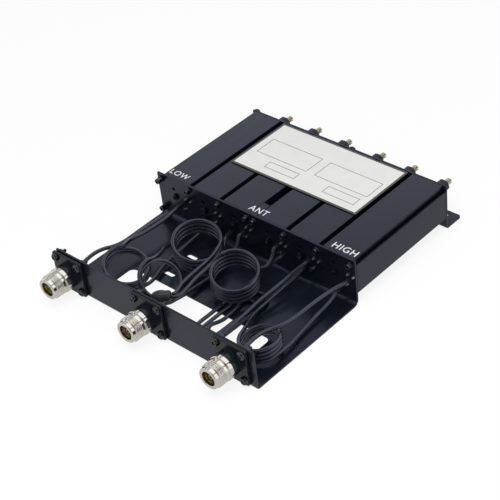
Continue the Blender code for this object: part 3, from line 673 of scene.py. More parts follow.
# Pan head by shares of its radius and height: outline, easing, and a cross recess of two bars
# with their reach, half width and depth, of which this part stands out above the head
PAN = ((0.0, 1.0), (0.55, 0.98), (0.86, 0.72), (1.0, 0.38))
PAN_EASE = 0.14
CROSS_REACH = 0.56
CROSS_HALF = 0.17
CROSS_DEEP = 0.55
CROSS_OUT = 0.3

# Cylinder head over its washer in the same shares, and its hexagon socket
CYLINDER = ((0.0, 1.0), (0.9, 1.0), (0.9, 0.22), (1.16, 0.22))
CYLINDER_EASE = 0.13
KEY_REACH = 0.52
KEY_MIDDLE = 1.1

# A nut's faces are turned to a cone that starts at this share of its width over flats and
# clears its corners by this share of the chamfer
CONE_START = 0.96
CONE_CLEAR = 0.2
CONE_TIP = 0.001

# Turn from one fastener to the next, in radians, because no two are driven home alike
SMALL_STEP = 0.7
CAP_STEP = 0.5
TRIMMER_STEP = 0.9
TRIMMER_NUT_STEP = 0.4
FLANGE_NUT_STEP = 0.3


def head_blank(outline, size, ease, steps):
    """Turned head without its recess, its seat at height 0."""
    radius, height = size
    profile = [(radius * out, height * up) for out, up in outline]
    profile += [(profile[-1][0], -HEAD_ROOT), (0.0, -HEAD_ROOT)]
    return turned(eased(profile, radius * ease), steps=steps)


def cross_head(size):
    """Pan head with a cross recess, its seat at height 0."""
    radius, height = size
    head = head_blank(PAN, size, PAN_EASE, steps=28)
    reach = radius * CROSS_REACH
    half = radius * CROSS_HALF
    deep = height * CROSS_DEEP
    for bar in (rectangle(-reach, reach, -half, half), rectangle(-half, half, -reach, reach)):
        head = carved(head, [prism([bar], deep, offset=(0, 0, height - deep * CROSS_OUT))])
    return head


def socket_head(size):
    """Cylinder head with a hexagon socket over a plain washer, its seat at height 0."""
    radius, height = size
    key = prism([hexagon(radius * KEY_REACH)], height, offset=(0, 0, height * KEY_MIDDLE))
    return carved(head_blank(CYLINDER, size, CYLINDER_EASE, steps=32), [key])


def hex_nut(flats, thick, bore, chamfer):
    """Hexagonal nut with both faces turned to a cone at the corners, its seat at height 0."""
    reach = flats / math.sqrt(3)
    clear = reach + chamfer * CONE_CLEAR
    start = flats / 2 * CONE_START
    top = thick / 2
    blank = prism([hexagon(reach), disc(0, 0, bore, steps=24)[::-1]], thick)
    cone = [(0.0, top + CONE_TIP), (start, top), (clear, top - chamfer)]
    cone += [(clear, chamfer - top), (start, -top), (0.0, -top - CONE_TIP)]
    nut = carved(blank, [turned(cone, steps=48)], "INTERSECT")
    nut.transform(Matrix.Translation((0, 0, top)))
    return nut


# Edges of small turned parts
FINE_EDGE = 0.0002
EDGE = 0.0003

# Trimmer screw: radius, top, root and edge, and half the width and the depth of its slot
TRIMMER_R = 0.0013
TRIMMER_TOP = 0.0029
TRIMMER_ROOT = 0.0003
TRIMMER_EDGE = 0.12 * TRIMMER_R
TRIMMER_SLOT_HALF = 0.00026
TRIMMER_SLOT_DEEP = 0.00054
small_head = cross_head(SMALL_HEAD)
trimmer_profile = [(0.0, TRIMMER_TOP), (TRIMMER_R, TRIMMER_TOP)]
trimmer_profile += [(TRIMMER_R, -TRIMMER_ROOT), (0.0, -TRIMMER_ROOT)]
trimmer_end = turned(eased(trimmer_profile, TRIMMER_EDGE), steps=24)
trimmer_screw = slotted(
    trimmer_end, TRIMMER_TOP, 2 * TRIMMER_R, TRIMMER_SLOT_HALF, TRIMMER_SLOT_DEEP
)
trimmer_nut = hex_nut(*TRIMMER_NUT)
heads = []
trimmers = []
nuts = []
for number, centre in enumerate(CENTRES):
    lower = (centre + LOWER_SCREW[0], DIVIDER_Y, LOWER_SCREW[1])
    heads.append(copied(small_head, TO_FRONT, lower, SMALL_STEP * number))
    spot = (centre + TRIMMER[0], DIVIDER_Y, TRIMMER[1])
    trimmers.append(copied(trimmer_screw, TO_FRONT, spot, TRIMMER_STEP * number))
    nuts.append(copied(trimmer_nut, TO_FRONT, spot, TRIMMER_NUT_STEP * number))
cap_head = socket_head(CAP_HEAD)
for number, across in enumerate(CAP_XS):
    heads.append(copied(cap_head, TO_FRONT, (across, DIVIDER_Y, CAP_Z), CAP_STEP * number))
edge_head = socket_head(EDGE_HEAD)
for across, up in EDGE_SCREWS:
    heads.append(copied(edge_head, TO_FRONT, (across, DIVIDER_Y, up)))
shown("divider_screws", joined(heads), ZINC)
shown("divider_trimmer_screws", joined(trimmers), ZINC)
shown("divider_trimmer_nuts", joined(nuts), ZINC)

# Tinned pins beside each cavity's cables
PINS = ((0.0094, 0.0243), (0.0138, 0.0236), (0.0086, 0.0158))
PIN_R = 0.0008
PIN_PROFILE = [
    (0.0, 0.0021), (PIN_R * 0.7, 0.0021), (PIN_R, 0.0012), (PIN_R * 1.4, -0.0002),
    (0.0, -0.0002),
]
pin = turned(eased(PIN_PROFILE, FINE_EDGE), steps=20)
pins = []
for centre in CENTRES:
    for across, up in PINS:
        pins.append(copied(pin, TO_FRONT, (centre + across, DIVIDER_Y, up)))
shown("divider_pins", joined(pins), TINNED)

# Places of the cable rings on the divider, across and up
RINGS = {
    "lead_low": (0.0185, 0.0142),
    "one": (0.0262, 0.0214),
    "two": (0.0502, 0.0110),
    "two_out": (0.0440, 0.0125),
    "three": (0.0700, 0.0120),
    "three_out": (0.0830, 0.0180),
    "four": (0.1152, 0.0205),
    "four_out": (0.1202, 0.0152),
    "five": (0.1430, 0.0205),
    "five_out": (0.1392, 0.0130),
    "six": (0.1700, 0.0092),
    "six_out": (0.1768, 0.0195),
}
RING = rectangle(0.00155, 0.0022, -0.0003, 0.0012)
ring = turned(eased(RING, FINE_EDGE, closed=True), steps=32, closed=True)
rings = [copied(ring, TO_FRONT, (x, DIVIDER_Y, z)) for x, z in RINGS.values()]
shown("divider_cable_rings", joined(rings), OXIDE)

# Jacks: profiles as (radius, height), a height being the way in front of the panel's face

# Flange plate, and the barrel that stands in it
PLATE_CORNER = 0.0016
PLATE_HOLE_R = 0.0016
PLATE_BORE_R = 0.0052
PLATE_RIM = 0.00025
BARREL = [
    (0.0035, 0.0080), (0.0092, 0.0080), (0.0092, 0.0024), (0.0104, 0.0024), (0.0104, 0.0020),
    (0.0051, 0.0020), (0.0051, -0.0035), (0.0035, -0.0035),
]

# Flange screws: radius, place of the thread along the shank and the shank's end
SHANK_R = 0.0013
SHANK_THREAD = (0.0002, 0.0064)
SHANK_PITCH = 0.0005
SHANK_DEPTH = 0.00016
SHANK_END = 0.0068
SHANK_END_R = 0.0010
SHANK_ROOT = 0.0002

# Shell: mouth, thread at 1.5 mm a turn, which is coarser than the real one, so that it
# shows, and body
SHELL_MOUTH = [
    (0.0048, 0.0083), (0.0048, 0.0190), (0.0053, 0.0205), (0.0053, 0.0224), (0.0056, 0.0227),
    (0.0074, 0.0227), (0.0078, 0.0223), (0.0078, 0.0195), (0.0086, 0.0194),
]
SHELL_THREAD = (0.0088, 0.0192, 0.0140)
JACK_PITCH = 0.0015
JACK_DEPTH = 0.0009
SHELL_BODY = [
    (0.0088, 0.0138), (0.0088, 0.0122), (0.0083, 0.0119), (0.0083, 0.0114), (0.0093, 0.0112),
    (0.0093, 0.0083), (0.0060, 0.0083),
]
MOUTH_R = 0.0054

# Insulating bead
BEAD = [
    (0.0011, 0.0130), (0.0044, 0.0130), (0.0044, 0.0083), (0.0032, 0.0083), (0.0032, -0.0035),
    (0.0011, -0.0035),
]

# Centre contact, slit crosswise, and how far its pin reaches behind the panel
CONTACT = [
    (0.0, 0.0165), (0.0009, 0.0165), (0.0009, 0.0205), (0.0017, 0.0205), (0.0017, 0.0133),
]
CONTACT_EDGE = 0.00015
CONTACT_PIN_R = 0.0008
PIN_ENDS = {"low": 0.0062, "ant": 0.0124, "high": 0.0062}
SLIT_ANGLES = (45, 135)
SLIT_REACH = 0.003
SLIT_HALF = 0.00015
SLIT_LENGTH = 0.0036
SLIT_MIDDLE = 0.0195


def jack_plate(jack, spot):
    half = FLANGE / 2
    outline = rounded(-half, half, -half, half, PLATE_CORNER, steps=6)
    bores = [disc(0, 0, PLATE_BORE_R)]
    bores += [disc(x, z, PLATE_HOLE_R, steps=20) for x, z in FLANGE_CORNERS]
    seat = (spot[0], -GAP - FLANGE_THICK / 2, spot[2])
    plate = prism([outline] + [bore[::-1] for bore in bores], FLANGE_THICK, TO_FRONT, seat)
    node = f"jack_flange_{jack}"
    shown(f"jack_plate_{jack}", plate, OXIDE, node, rim=PLATE_RIM)


def jack_barrel(jack, spot):
    mesh = turned(eased(BARREL, EDGE, closed=True), TO_FRONT, spot, steps=64, closed=True)
    shown(f"jack_barrel_{jack}", mesh, OXIDE)


def jack_screws(jack, spot, number):
    """Four screws of a flange with their threaded shanks, and the nuts behind the panel."""
    head_y = -GAP - FLANGE_THICK
    shank = [(0.0, head_y + SHANK_ROOT), (SHANK_R, head_y + SHANK_ROOT)]
    shank += thread(SHANK_R, *SHANK_THREAD, SHANK_PITCH, SHANK_DEPTH, rows=8)
    shank += [(SHANK_END_R, SHANK_END), (0.0, SHANK_END)]
    fixings = []
    for count, (x, z) in enumerate(FLANGE_CORNERS):
        across, up = spot[0] + x, spot[2] + z
        fixings.append(copied(flange_head, TO_FRONT, (across, head_y, up), count + number))
        nut_seat = (across, SHEET + GAP / 10, up)
        fixings.append(copied(flange_nut, TO_REAR, nut_seat, FLANGE_NUT_STEP * count))
        fixings.append(turned(shank, TO_REAR, (across, 0, up), steps=16, pitch=SHANK_PITCH))
    shown(f"jack_screws_{jack}", joined(fixings), ZINC)


def jack_shell(jack, spot):
    """Threaded shell, with the inside of its mouth gold flashed."""
    profile = eased(SHELL_MOUTH, FINE_EDGE)
    profile += thread(*SHELL_THREAD, JACK_PITCH, JACK_DEPTH, rows=12)
    profile += eased(SHELL_BODY, FINE_EDGE)
    mesh = turned(profile, TO_FRONT, spot, steps=72, closed=True, pitch=JACK_PITCH)
    node = f"jack_shell_{jack}"
    piece = shown(f"jack_thread_{jack}", mesh, NICKEL, node)
    piece.data.materials.append(GOLD)
    axis = ZERO + Vector(spot)
    for face in piece.data.polygons:
        middle = face.center - axis
        if math.hypot(middle.x, middle.z) < MOUTH_R:
            face.material_index = 1


def jack_bead(jack, spot):
    mesh = turned(eased(BEAD, FINE_EDGE, closed=True), TO_FRONT, spot, steps=40, closed=True)
    node = f"jack_insulator_{jack}"
    shown(f"jack_bead_{jack}", mesh, PTFE, node)


def jack_spring(jack, spot):
    """Centre contact with its slit spring in front and its pin behind."""
    pin_end = PIN_ENDS[jack]
    profile = CONTACT + [
        (CONTACT_PIN_R, CONTACT[-1][1]), (CONTACT_PIN_R, -pin_end), (0.0, -pin_end),
    ]
    spring = turned(eased(profile, CONTACT_EDGE), TO_FRONT, spot, steps=32)
    place = Matrix.Translation(spot) @ TO_FRONT @ Matrix.Translation((0, 0, SLIT_MIDDLE))
    for angle in SLIT_ANGLES:
        slit = prism([rectangle(-SLIT_REACH, SLIT_REACH, -SLIT_HALF, SLIT_HALF)], SLIT_LENGTH)
        slit.transform(place @ Matrix.Rotation(math.radians(angle), 4, "Z"))
        spring = carved(spring, [slit])
    shown(f"jack_spring_{jack}", spring, GOLD, f"jack_contact_{jack}")


flange_head = cross_head(FLANGE_HEAD)
flange_nut = hex_nut(*FLANGE_NUT)
for number, (jack, jack_x, jack_z) in enumerate(JACKS):
    spot = (jack_x, 0, jack_z)
    jack_plate(jack, spot)
    jack_barrel(jack, spot)
    jack_screws(jack, spot, number)
    jack_shell(jack, spot)
    jack_bead(jack, spot)
    jack_spring(jack, spot)

# Tuning rods and lock nuts: a rod's heights run back from a point between its two collars

ROD_Y = 0.1740
ROD_TIP = 0.0522
ROD_R = 0.0022
ROD_NECK_R = 0.0021
ROD_END_R = 0.0017
ROD_CHAMFER = 0.0005
ROD_THREAD = (ROD_TIP - 0.0006, 0.0290)
ROD_PITCH = 0.0007
ROD_DEPTH = 0.00032
ROD_SLOT_REACH = 0.004
ROD_SLOT_HALF = 0.00055
ROD_SLOT_DEEP = 0.0032
COLLAR_R = 0.0036
COLLARS = [
    (ROD_R, 0.0015), (COLLAR_R, 0.0015), (COLLAR_R, 0.0003), (ROD_R, 0.0003), (ROD_R, -0.0015),
    (COLLAR_R, -0.0015), (COLLAR_R, -0.0027), (0.0, -0.0027),
]
SLEEVE_LENGTH = 0.0123
SLEEVE = rectangle(0.0025, 0.0037, 0.0, SLEEVE_LENGTH)
NUT_OVERLAP = 0.0001

rod_profile = [(0.0, ROD_TIP), (ROD_END_R, ROD_TIP), (ROD_NECK_R, ROD_TIP - ROD_CHAMFER)]
rod_profile += thread(ROD_R, *ROD_THREAD, ROD_PITCH, ROD_DEPTH, rows=8)
rod_profile += COLLARS
lock_nut = hex_nut(*LOCK_NUT)
for number, centre in enumerate(CENTRES, 1):
    rod = turned(rod_profile, steps=28, pitch=ROD_PITCH)
    rod = slotted(rod, ROD_TIP, ROD_SLOT_REACH, ROD_SLOT_HALF, ROD_SLOT_DEEP)
    rod.transform(Matrix.Translation((centre, ROD_Y, ROD_Z)) @ TO_REAR)
    node = f"tuning_rod_{number}"
    shown(f"threaded_rod_{number}", rod, BRASS, node, body=f"rod_{number}")
    seat = (centre, REAR_Y + GAP, ROD_Z)
    nut_seat = (centre, REAR_Y + GAP + SLEEVE_LENGTH - NUT_OVERLAP, ROD_Z)
    sleeve = turned(eased(SLEEVE, EDGE, closed=True), TO_REAR, seat, steps=36, closed=True)
    nut = joined([sleeve, copied(lock_nut, TO_REAR, nut_seat)])
    shown(f"locking_nut_{number}", nut, OXIDE, f"lock_nut_{number}")

# Screws through the rear plate into the block
REAR_SCREWS = ((0.0056, 0.0343), (0.0985, 0.0343))
rear_head = cross_head(REAR_HEAD)
rear_heads = [copied(rear_head, TO_REAR, (x, REAR_Y, z)) for x, z in REAR_SCREWS]
shown("rear_screws", joined(rear_heads), OXIDE)

# Inside the cavities the solids are kept as they are
for name, surface in (("plunger", BRASS), ("resonator", COPPER)):
    for number in range(1, len(CENTRES) + 1):
        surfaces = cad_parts[f"{name}_{number}"].data.materials
        surfaces.clear()
        surfaces.append(surface)

# Label: left, right, front and rear edge of the plate, and of each frame on its face

LABEL = (0.0373, 0.1520, 0.1395, 0.1985)
LABEL_BOTTOM = BLOCK_TOP + GAP
LABEL_T = 0.0006
LABEL_RIM = 0.0001
LABEL_TOP = LABEL_BOTTOM + LABEL_T
MARGIN = 0.0016
FACE_T = 0.00006
FRAMES = (
    (0.0444, 0.0916, 0.1596, 0.1784), (0.0991, 0.1464, 0.1595, 0.1780),
    (0.0619, 0.0898, 0.1477, 0.1548), (0.1163, 0.1441, 0.1472, 0.1550),
)
LINE_WIDTH = 0.00042
LINE_MIDDLE = 1.4 * FACE_T

backing = prism([rectangle(*LABEL)], LABEL_T, offset=(0, 0, LABEL_BOTTOM + LABEL_T / 2))
shown("label_backing", backing, MARGIN_INK, "label_plate", rim=LABEL_RIM)
face = rectangle(LABEL[0] + MARGIN, LABEL[1] - MARGIN, LABEL[2] + MARGIN, LABEL[3] - MARGIN)
face_sheet = prism([face], FACE_T, offset=(0, 0, LABEL_TOP + FACE_T / 2))
shown("label_face", face_sheet, FACE_INK)
frames = []
for left, right, low, high in FRAMES:
    inside = rectangle(
        left + LINE_WIDTH, right - LINE_WIDTH, low + LINE_WIDTH, high - LINE_WIDTH
    )
    outlines = [rectangle(left, right, low, high), inside[::-1]]
    frames.append(prism(outlines, FACE_T, offset=(0, 0, LABEL_TOP + LINE_MIDDLE)))
shown("label_frames", joined(frames), LINE_INK)

# Words on top of the block: left, right, front and rear edge of each, the ink's thickness,
# and how bold, how widely spaced and how deep the letters are before they are fitted
WORDS = (
    ("LOW", (0.0079, 0.0253, 0.1046, 0.1099)),
    ("ANT", (0.0856, 0.1018, 0.1040, 0.1096)),
    ("HIGH", (0.1598, 0.1798, 0.1042, 0.1099)),
)
WORD_T = 0.00004
LETTER_BOLD = 0.008
LETTER_SPACE = 1.12
LETTER_HALF = 0.5
for word, (left, right, low, high) in WORDS:
    letters = bpy.data.curves.new(word, "FONT")
    letters.body = word
    letters.offset = LETTER_BOLD
    letters.space_character = LETTER_SPACE
    letters.extrude = LETTER_HALF
    mesh = as_mesh(linked("letters", letters))
    xs = [vertex.co.x for vertex in mesh.vertices]
    ys = [vertex.co.y for vertex in mesh.vertices]
    for vertex in mesh.vertices:
        across = (vertex.co.x - min(xs)) / (max(xs) - min(xs))
        along = (vertex.co.y - min(ys)) / (max(ys) - min(ys))
        spot = (left + (right - left) * across, low + (high - low) * along)
        vertex.co = (*spot, BLOCK_TOP + WORD_T * (LETTER_HALF + vertex.co.z))
    shown(f"word_{word.lower()}", mesh, WORD_INK)

# Cables of the harness

# Roundness of a cable, the step along it, and how far before the divider it ends
CABLE_FACETS = 6
CABLE_STEP = 0.0010
END_GAP = 0.0001

# Knots that each level of a smooth curve's pyramid runs between
PYRAMID = (((0, 1), (1, 2), (2, 3)), ((0, 2), (1, 3)), ((1, 2),))


def coil(centre, radius, lean, start, turns, way, pitch=CABLE_PITCH):
    """Turns going down from the top one, whose plane leans towards the given side. Each turn
    lies straight under the one before it. way is 1 for counter-clockwise seen from above."""
    normal = Vector((lean[0], lean[1], 1.0)).normalized()
    along = (Vector((1, 0, 0)) - normal * normal.x).normalized()
    across = normal.cross(along)
    spots = []
    count = round(turns * COIL_STEPS)
    for k in range(count + 1):
        part_turn = turns * k / count
        angle = math.radians(start) + way * math.tau * part_turn
        loop = along * math.cos(angle) + across * math.sin(angle)
        drop = pitch * (part_turn - 0.5)
        spots.append(Vector(centre) + loop * radius - Vector((0, 0, drop)))
    return spots


def turn_back(across, along, radius, start, rise=(0.0, 0.0), steps=12):
    """Half turn of a cable in the tray, counter-clockwise from the given side."""
    spots = []
    for k in range(steps + 1):
        angle = math.radians(start + 180 * k / steps)
        lift = rise[0] + (rise[1] - rise[0]) * k / steps
        spot = (across + radius * math.cos(angle), along + radius * math.sin(angle), FLOOR + lift)
        spots.append(Vector(spot))
    return spots


def at_ring(name):
    """Straight end of a cable in its ring on the divider, outer point first."""
    across, up = RINGS[name]
    end = Vector((across, DIVIDER_Y - END_GAP, up))
    return [end - Vector((0, 3 * CABLE_R, 0)), end]


def at_pin(number):
    """Straight end of a cable behind the pin of a jack, the point at the pin first."""
    jack, across, up = JACKS[number]
    start = Vector((across, PIN_ENDS[jack] + GAP, up))
    return [start, start + Vector((0, 2 * CABLE_R, 0))]


def smooth_run(points, spacing):
    """Points a small step apart on one smooth curve through the given ones."""
    points = [Vector(point) for point in points]
    ends = [points[0] * 2 - points[1]] + points + [points[-1] * 2 - points[-2]]
    made = []
    for before, start, end, after in zip(ends, ends[1:], ends[2:], ends[3:]):
        knots = [0.0]
        for near, far in ((before, start), (start, end), (end, after)):
            knots.append(knots[-1] + max((far - near).length, 1e-6) ** 0.5)
        count = max(1, round((end - start).length / spacing))
        for k in range(count):
            at = knots[1] + (knots[2] - knots[1]) * k / count
            level = [before, start, end, after]
            for spans in PYRAMID:
                level = [
                    level[n].lerp(level[n + 1], (at - knots[low]) / (knots[high] - knots[low]))
                    for n, (low, high) in enumerate(spans)
                ]
            made.append(level[0])
    return made + [points[-1]]


def cable(name, *points):
    """Jacketed cable along a smooth curve through the given points."""
    curve = bpy.data.curves.new(name, "CURVE")
    curve.dimensions = "3D"
    curve.bevel_depth = CABLE_R
    curve.bevel_resolution = CABLE_FACETS
    curve.use_fill_caps = True
    run = smooth_run(points, CABLE_STEP)
    spline = curve.splines.new("POLY")
    spline.points.add(len(run) - 1)
    for point, spot in zip(spline.points, run):
        point.co = (*spot, 1.0)
    mesh = cleaned(as_mesh(linked(name, curve)))
    shown("cable_" + name, mesh, JACKET, name)


cable(
    "lead_low",
    *at_pin(0),
    (0.0124, 0.0120, 0.0170), (0.0126, 0.0180, 0.0183), (0.0130, 0.0240, 0.0185),
    (0.0135, 0.0310, 0.0172), (0.0140, 0.0370, 0.0152), (0.0150, 0.0440, 0.0140),
    (0.0175, 0.0780, 0.0140),
    *at_ring("lead_low"),
)
cable(
    "line_one_two",
    *at_ring("one")[::-1],
    (0.0280, 0.0800, 0.0206), (0.0272, 0.0600, 0.0204), (0.0254, 0.0460, 0.0212),
    *coil((0.0410, 0.0255, 0.0182), 0.0152, (0.38, -0.12), 142, 2.6, 1),
    (0.0546, 0.0330, 0.0048), (0.0526, 0.0410, 0.0042), (0.0500, 0.0500, 0.0042),
    (0.0480, 0.0640, 0.0052), (0.0478, 0.0760, 0.0066), (0.0486, 0.0880, 0.0084),
    *at_ring("two"),
)
cable(
    "line_two_three",
    *at_ring("two_out")[::-1],
    (0.0440, 0.0900, 0.0108), (0.0436, 0.0810, 0.0098), (0.0438, 0.0720, 0.0106),
    (0.0454, 0.0640, 0.0136), (0.0488, 0.0560, 0.0176), (0.0540, 0.0480, 0.0214),
    (0.0578, 0.0410, 0.0244), (0.0598, 0.0350, 0.0268),
    *coil((0.0716, 0.0284, 0.0182), 0.0147, (0.84, -0.06), 178, 1.5, 1),
    (0.0836, 0.0360, 0.0050), (0.0842, 0.0480, 0.0046), (0.0850, 0.0640, 0.0050),
    (0.0852, 0.0800, 0.0080), (0.0842, 0.0900, 0.0126),
    *at_ring("three_out"),
)

# Boot over the junction behind the middle jack, by shares of its radius and length, with the
# two lines that leave it side by side
BOOT_R = 0.0044
BOOT_FROM = Vector((0.0808, 0.0108, 0.0192))
BOOT_TO = Vector((0.0912, 0.0196, 0.0196))
BOOT_OUTLINE = (
    (0.0, 1.0), (0.60, 1.0), (0.90, 0.90), (0.84, 0.72), (1.0, 0.56), (0.96, 0.28),
    (0.66, 0.06), (0.30, 0.0), (0.0, 0.0),
)
BOOT_EDGE = 0.0014
boot_run = BOOT_TO - BOOT_FROM
boot_way = boot_run.normalized()
boot_profile = [(BOOT_R * out, boot_run.length * up) for out, up in BOOT_OUTLINE]
boot_turn = boot_run.to_track_quat("Z", "Y").to_matrix().to_4x4()
boot = turned(eased(boot_profile, BOOT_EDGE), boot_turn, BOOT_FROM, steps=40)
shown("junction_boot", boot, BOOT, "ant_junction_boot")

line_side = boot_run.cross(Vector((0, 0, 1))).normalized() * (CABLE_R + GAP)
line_start = BOOT_TO + boot_way * GAP
line_reach = boot_way * (2 * CABLE_R)
cable(
    "line_three_ant",
    line_start - line_side, line_start + line_reach / 2 - line_side,
    (0.0904, 0.0262, 0.0194), (0.0884, 0.0320, 0.0194), (0.0872, 0.0400, 0.0195),
    (0.0860, 0.0520, 0.0193), (0.0848, 0.0600, 0.0186), (0.0826, 0.0680, 0.0176),
    *coil((0.0642, 0.0724, 0.0200), 0.0169, (0.25, -0.18), 8, 4.08, 1),
    *at_ring("three"),
)
cable(
    "line_ant_four",
    line_start + line_side, line_start + line_reach + line_side,
    (0.0956, 0.0244, 0.0196), (0.0944, 0.0320, 0.0196), (0.0924, 0.0420, 0.0198),
    (0.0918, 0.0520, 0.0204), (0.0922, 0.0600, 0.0222),
    *coil((0.1094, 0.0621, 0.0204), 0.0162, (0.20, -0.20), 165, 4.2, -1, pitch=0.0030),
    (0.1160, 0.0840, 0.0124), (0.1162, 0.0920, 0.0160),
    *at_ring("four"),
)
cable(
    "line_four_five",
    *at_ring("four_out")[::-1],
    (0.1170, 0.0915, 0.0122), (0.1134, 0.0840, 0.0080), (0.1114, 0.0760, 0.0044),
    (0.1107, 0.0670, FLOOR),
    *turn_back(0.1216, 0.0222, 0.0111, 180),
    (0.1336, 0.0480, FLOOR),
    *turn_back(0.1249, 0.0610, 0.0091, 0),
    *turn_back(0.1221, 0.0222, 0.0064, 180),
    (0.1292, 0.0440, FLOOR),
    *turn_back(0.1250, 0.0550, 0.0052, 0),
    (0.1214, 0.0430, FLOOR), (0.1216, 0.0350, FLOOR), (0.1216, 0.0290, 0.0046),
    *turn_back(0.1284, 0.0238, 0.0068, 180, (0.0034, 0.0049)),
    (0.1349, 0.0420, 0.0090), (0.1344, 0.0580, 0.0101), (0.1361, 0.0717, 0.0120),
    (0.1383, 0.0848, 0.0150),
    *at_ring("five"),
)
cable(
    "line_five_six",
    *at_ring("five_out")[::-1],
    (0.1382, 0.0900, 0.0108), (0.1364, 0.0800, 0.0080), (0.1358, 0.0660, 0.0062),
    (0.1366, 0.0530, 0.0060), (0.1398, 0.0430, 0.0074), (0.1436, 0.0350, 0.0094),
    (0.1468, 0.0280, 0.0112),
    *coil((0.1618, 0.0275, 0.0130), 0.0137, (-0.15, -0.05), 202, 3.44, 1),
    (0.1750, 0.0390, 0.0046), (0.1726, 0.0570, 0.0042), (0.1713, 0.0704, 0.0050),
    (0.1709, 0.0861, 0.0070),
    *at_ring("six"),
)
cable(
    "lead_high",
    *at_pin(2),
    (0.1639, 0.0130, 0.0174), (0.1634, 0.0200, 0.0180), (0.1640, 0.0270, 0.0182),
    (0.1663, 0.0340, 0.0182), (0.1690, 0.0400, 0.0182), (0.1710, 0.0480, 0.0182),
    (0.1722, 0.0720, 0.0182), (0.1742, 0.0870, 0.0188),
    *at_ring("six_out"),
)

# Solder where the leads' cores meet the pins of the outer jacks
JOINT = [(0.0, 0.0054), (0.0009, 0.0054), (0.0014, 0.0060), (0.0013, 0.0066), (0.0, 0.0068)]
joints = []
for jack, jack_x, jack_z in (JACKS[0], JACKS[2]):
    joints.append(turned(eased(JOINT, EDGE), TO_REAR, (jack_x, 0, jack_z), steps=24))
shown("pin_solder", joined(joints), SOLDER)

# Studio

FLOOR_REACH = 4.0

# The paper's own light: its share where a ray sees it directly, its level there, and its
# level in a mirror
PAPER_GLOW = 0.84
PAPER_LEVEL = 1.02
PAPER_MIRRORED = 0.54

# What polished surfaces see: a white sweep round the table up to a dim ceiling, by the sine of
# the height above the table, a bright cloth hung over the back of the table, the black stands
# that hold it, each at its share of the way to the right, and the unlit room in front
SWEEP = ((0.0, 1.0), (0.56, 0.92), (0.67, 0.42), (1.0, 0.42))
CLOTH_WAY = Vector((0.30, 0.30, 0.90)).normalized()
CLOTH_EDGE = (0.66, 0.80)
CLOTH_LEVEL = 1.1
STANDS = (0.575, -0.79)
STAND_EDGE = (0.027, 0.063)
STAND_LEVEL = 0.05
ROOM_WAY = Vector((0.54, -0.58, 0.61)).normalized()
ROOM_EDGE = (0.66, 0.90)
ROOM_LEVEL = 0.06

# Level of the sky for rays that have been scattered
SKY_LEVEL = 0.32

# Lamps: name, place from the middle of the object, size and power
LIT_MIDDLE = ZERO + Vector((0.0915, 0.100, 0.02))
LAMPS = (
    ("overhead_softbox", Vector((0.30, -0.35, 1.3)), 1.1, 15.0),
    ("front_softbox", Vector((0.9, -0.9, 0.9)), 1.0, 4.0),
)


def ray_kinds(tree):
    """Light path, and 1 for a ray that comes from the camera, a gloss or a clear body."""
    path = add(tree, "LightPath", {})
    either = {0: path.outputs["Is Camera Ray"], 1: path.outputs["Is Glossy Ray"]}
    seen = add(tree, "Math", either, operation="MAXIMUM")
    either = {0: seen.outputs[0], 1: path.outputs["Is Transmission Ray"]}
    return path, add(tree, "Math", either, operation="MAXIMUM").outputs[0]


def cone(tree, towards, way, edge, outside, inside):
    """Level that runs smoothly from one to the other as a ray turns to the given way."""
    facing = add(tree, "VectorMath", {0: towards, 1: way}, operation="DOT_PRODUCT")
    span = {
        "Value": facing.outputs["Value"],
        "From Min": edge[0],
        "From Max": edge[1],
        "To Min": outside,
        "To Max": inside,
    }
    return add(tree, "MapRange", span, interpolation_type="SMOOTHSTEP").outputs["Result"]


floor_mesh = bpy.data.meshes.new("studio_floor")
floor_corners = rectangle(-FLOOR_REACH, FLOOR_REACH, -FLOOR_REACH, FLOOR_REACH)
floor_mesh.from_pydata([(x, y, ZERO.z) for x, y in floor_corners], [], [(0, 1, 2, 3)])
linked("studio_floor", floor_mesh)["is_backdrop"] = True
PAPER = bpy.data.materials.new("white_studio_paper")
PAPER.use_nodes = True
tree = PAPER.node_tree
tree.nodes.clear()
path, seen = ray_kinds(tree)
glow = add(tree, "Math", {0: seen, 1: PAPER_GLOW}, operation="MULTIPLY")
paper = add(tree, "BsdfDiffuse", {"Color": linear("f2f2f2")})
level = add(
    tree,
    "MapRange",
    {"Value": path.outputs["Is Glossy Ray"], "To Min": PAPER_LEVEL, "To Max": PAPER_MIRRORED},
)
light = add(tree, "Emission", {"Color": (1, 1, 1, 1), "Strength": level.outputs["Result"]})
mixed = add(tree, "MixShader", {0: glow.outputs[0], 1: paper.outputs[0], 2: light.outputs[0]})
add(tree, "OutputMaterial", {"Surface": mixed.outputs[0]})
floor_mesh.materials.append(PAPER)

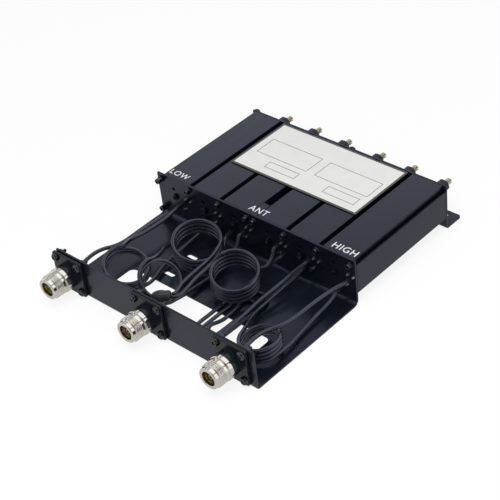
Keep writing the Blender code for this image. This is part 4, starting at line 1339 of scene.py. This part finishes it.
world = bpy.data.worlds.new("white_studio")
bpy.context.scene.world = world
world.use_nodes = True
tree = world.node_tree
tree.nodes.clear()
path, seen = ray_kinds(tree)
towards = add(tree, "TexCoord", {}).outputs["Generated"]
sides = add(tree, "SeparateXYZ", {"Vector": towards})
sweep = add(tree, "ValToRGB", {"Fac": sides.outputs["Z"]})
steps = sweep.color_ramp.elements
steps.remove(steps[0])
for number, (share, grey) in enumerate(SWEEP):
    element = steps.new(share) if number else steps[0]
    element.position = share
    element.color = (grey, grey, grey, 1.0)
cloth = cone(tree, towards, CLOTH_WAY, CLOTH_EDGE, 0.0, CLOTH_LEVEL)
mirrored = add(tree, "Math", {0: sweep.outputs["Color"], 1: cloth}, operation="MAXIMUM")
for stand in STANDS:
    off = add(tree, "Math", {0: sides.outputs["X"], 1: stand}, operation="SUBTRACT")
    off = add(tree, "Math", {0: off.outputs[0]}, operation="ABSOLUTE")
    edge = {"From Min": STAND_EDGE[0], "From Max": STAND_EDGE[1], "To Min": STAND_LEVEL}
    shade = add(tree, "MapRange", {"Value": off.outputs[0], **edge}).outputs["Result"]
    mirrored = add(tree, "Math", {0: mirrored.outputs[0], 1: shade}, operation="MULTIPLY")
room = cone(tree, towards, ROOM_WAY, ROOM_EDGE, 1.0, ROOM_LEVEL)
mirrored = add(tree, "Math", {0: mirrored.outputs[0], 1: room}, operation="MULTIPLY")
level = add(
    tree, "MapRange", {"Value": seen, "To Min": SKY_LEVEL, "To Max": mirrored.outputs[0]}
)
shown_sky = add(
    tree,
    "MapRange",
    {"Value": path.outputs["Is Camera Ray"], "To Min": level.outputs["Result"], "To Max": 1.0},
)
sky = add(tree, "Background", {"Color": (1, 1, 1, 1), "Strength": shown_sky.outputs["Result"]})
add(tree, "OutputWorld", {"Surface": sky.outputs[0]})

for name, place, size, power in LAMPS:
    lamp = bpy.data.lights.new(name, "AREA")
    lamp.size = size
    lamp.energy = power
    holder = linked(name, lamp)
    holder.location = LIT_MIDDLE + place
    holder.rotation_mode = "QUATERNION"
    holder.rotation_quaternion = (-place).to_track_quat("-Z", "Y")
    holder.visible_glossy = False

# Camera, fitted to the photo's corners: its turn round the object, how high it stands, how it
# is tilted, and its focal length, measured in pixels over the width of the photo

AZIMUTH = math.radians(46.639)
ELEVATION = math.radians(37.683)
TILT = math.radians(-7.428)
DISTANCE = 0.94919
TARGET = ZERO + Vector((0.09733, 0.09003, 0.0150))
FOCAL_PX = 1377.008
PHOTO_PX = 500
SENSOR = 36.0
CLIP = (0.01, 20.0)
flat = math.cos(ELEVATION)
back = Vector((math.sin(AZIMUTH) * flat, -math.cos(AZIMUTH) * flat, math.sin(ELEVATION)))
level_right = Vector((0, 0, 1)).cross(back).normalized()
level_up = back.cross(level_right)
right = level_right * math.cos(TILT) + level_up * math.sin(TILT)
up = level_up * math.cos(TILT) - level_right * math.sin(TILT)
lens = bpy.data.cameras.new("camera")
lens.sensor_width = SENSOR
lens.lens = FOCAL_PX / PHOTO_PX * SENSOR
lens.clip_start, lens.clip_end = CLIP
camera = linked("camera", lens)
facing = Matrix((right, up, back)).transposed().to_4x4()
camera.matrix_world = Matrix.Translation(TARGET + back * DISTANCE) @ facing
bpy.context.scene.camera = camera
bpy.context.scene.view_settings.view_transform = "Standard"

low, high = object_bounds()
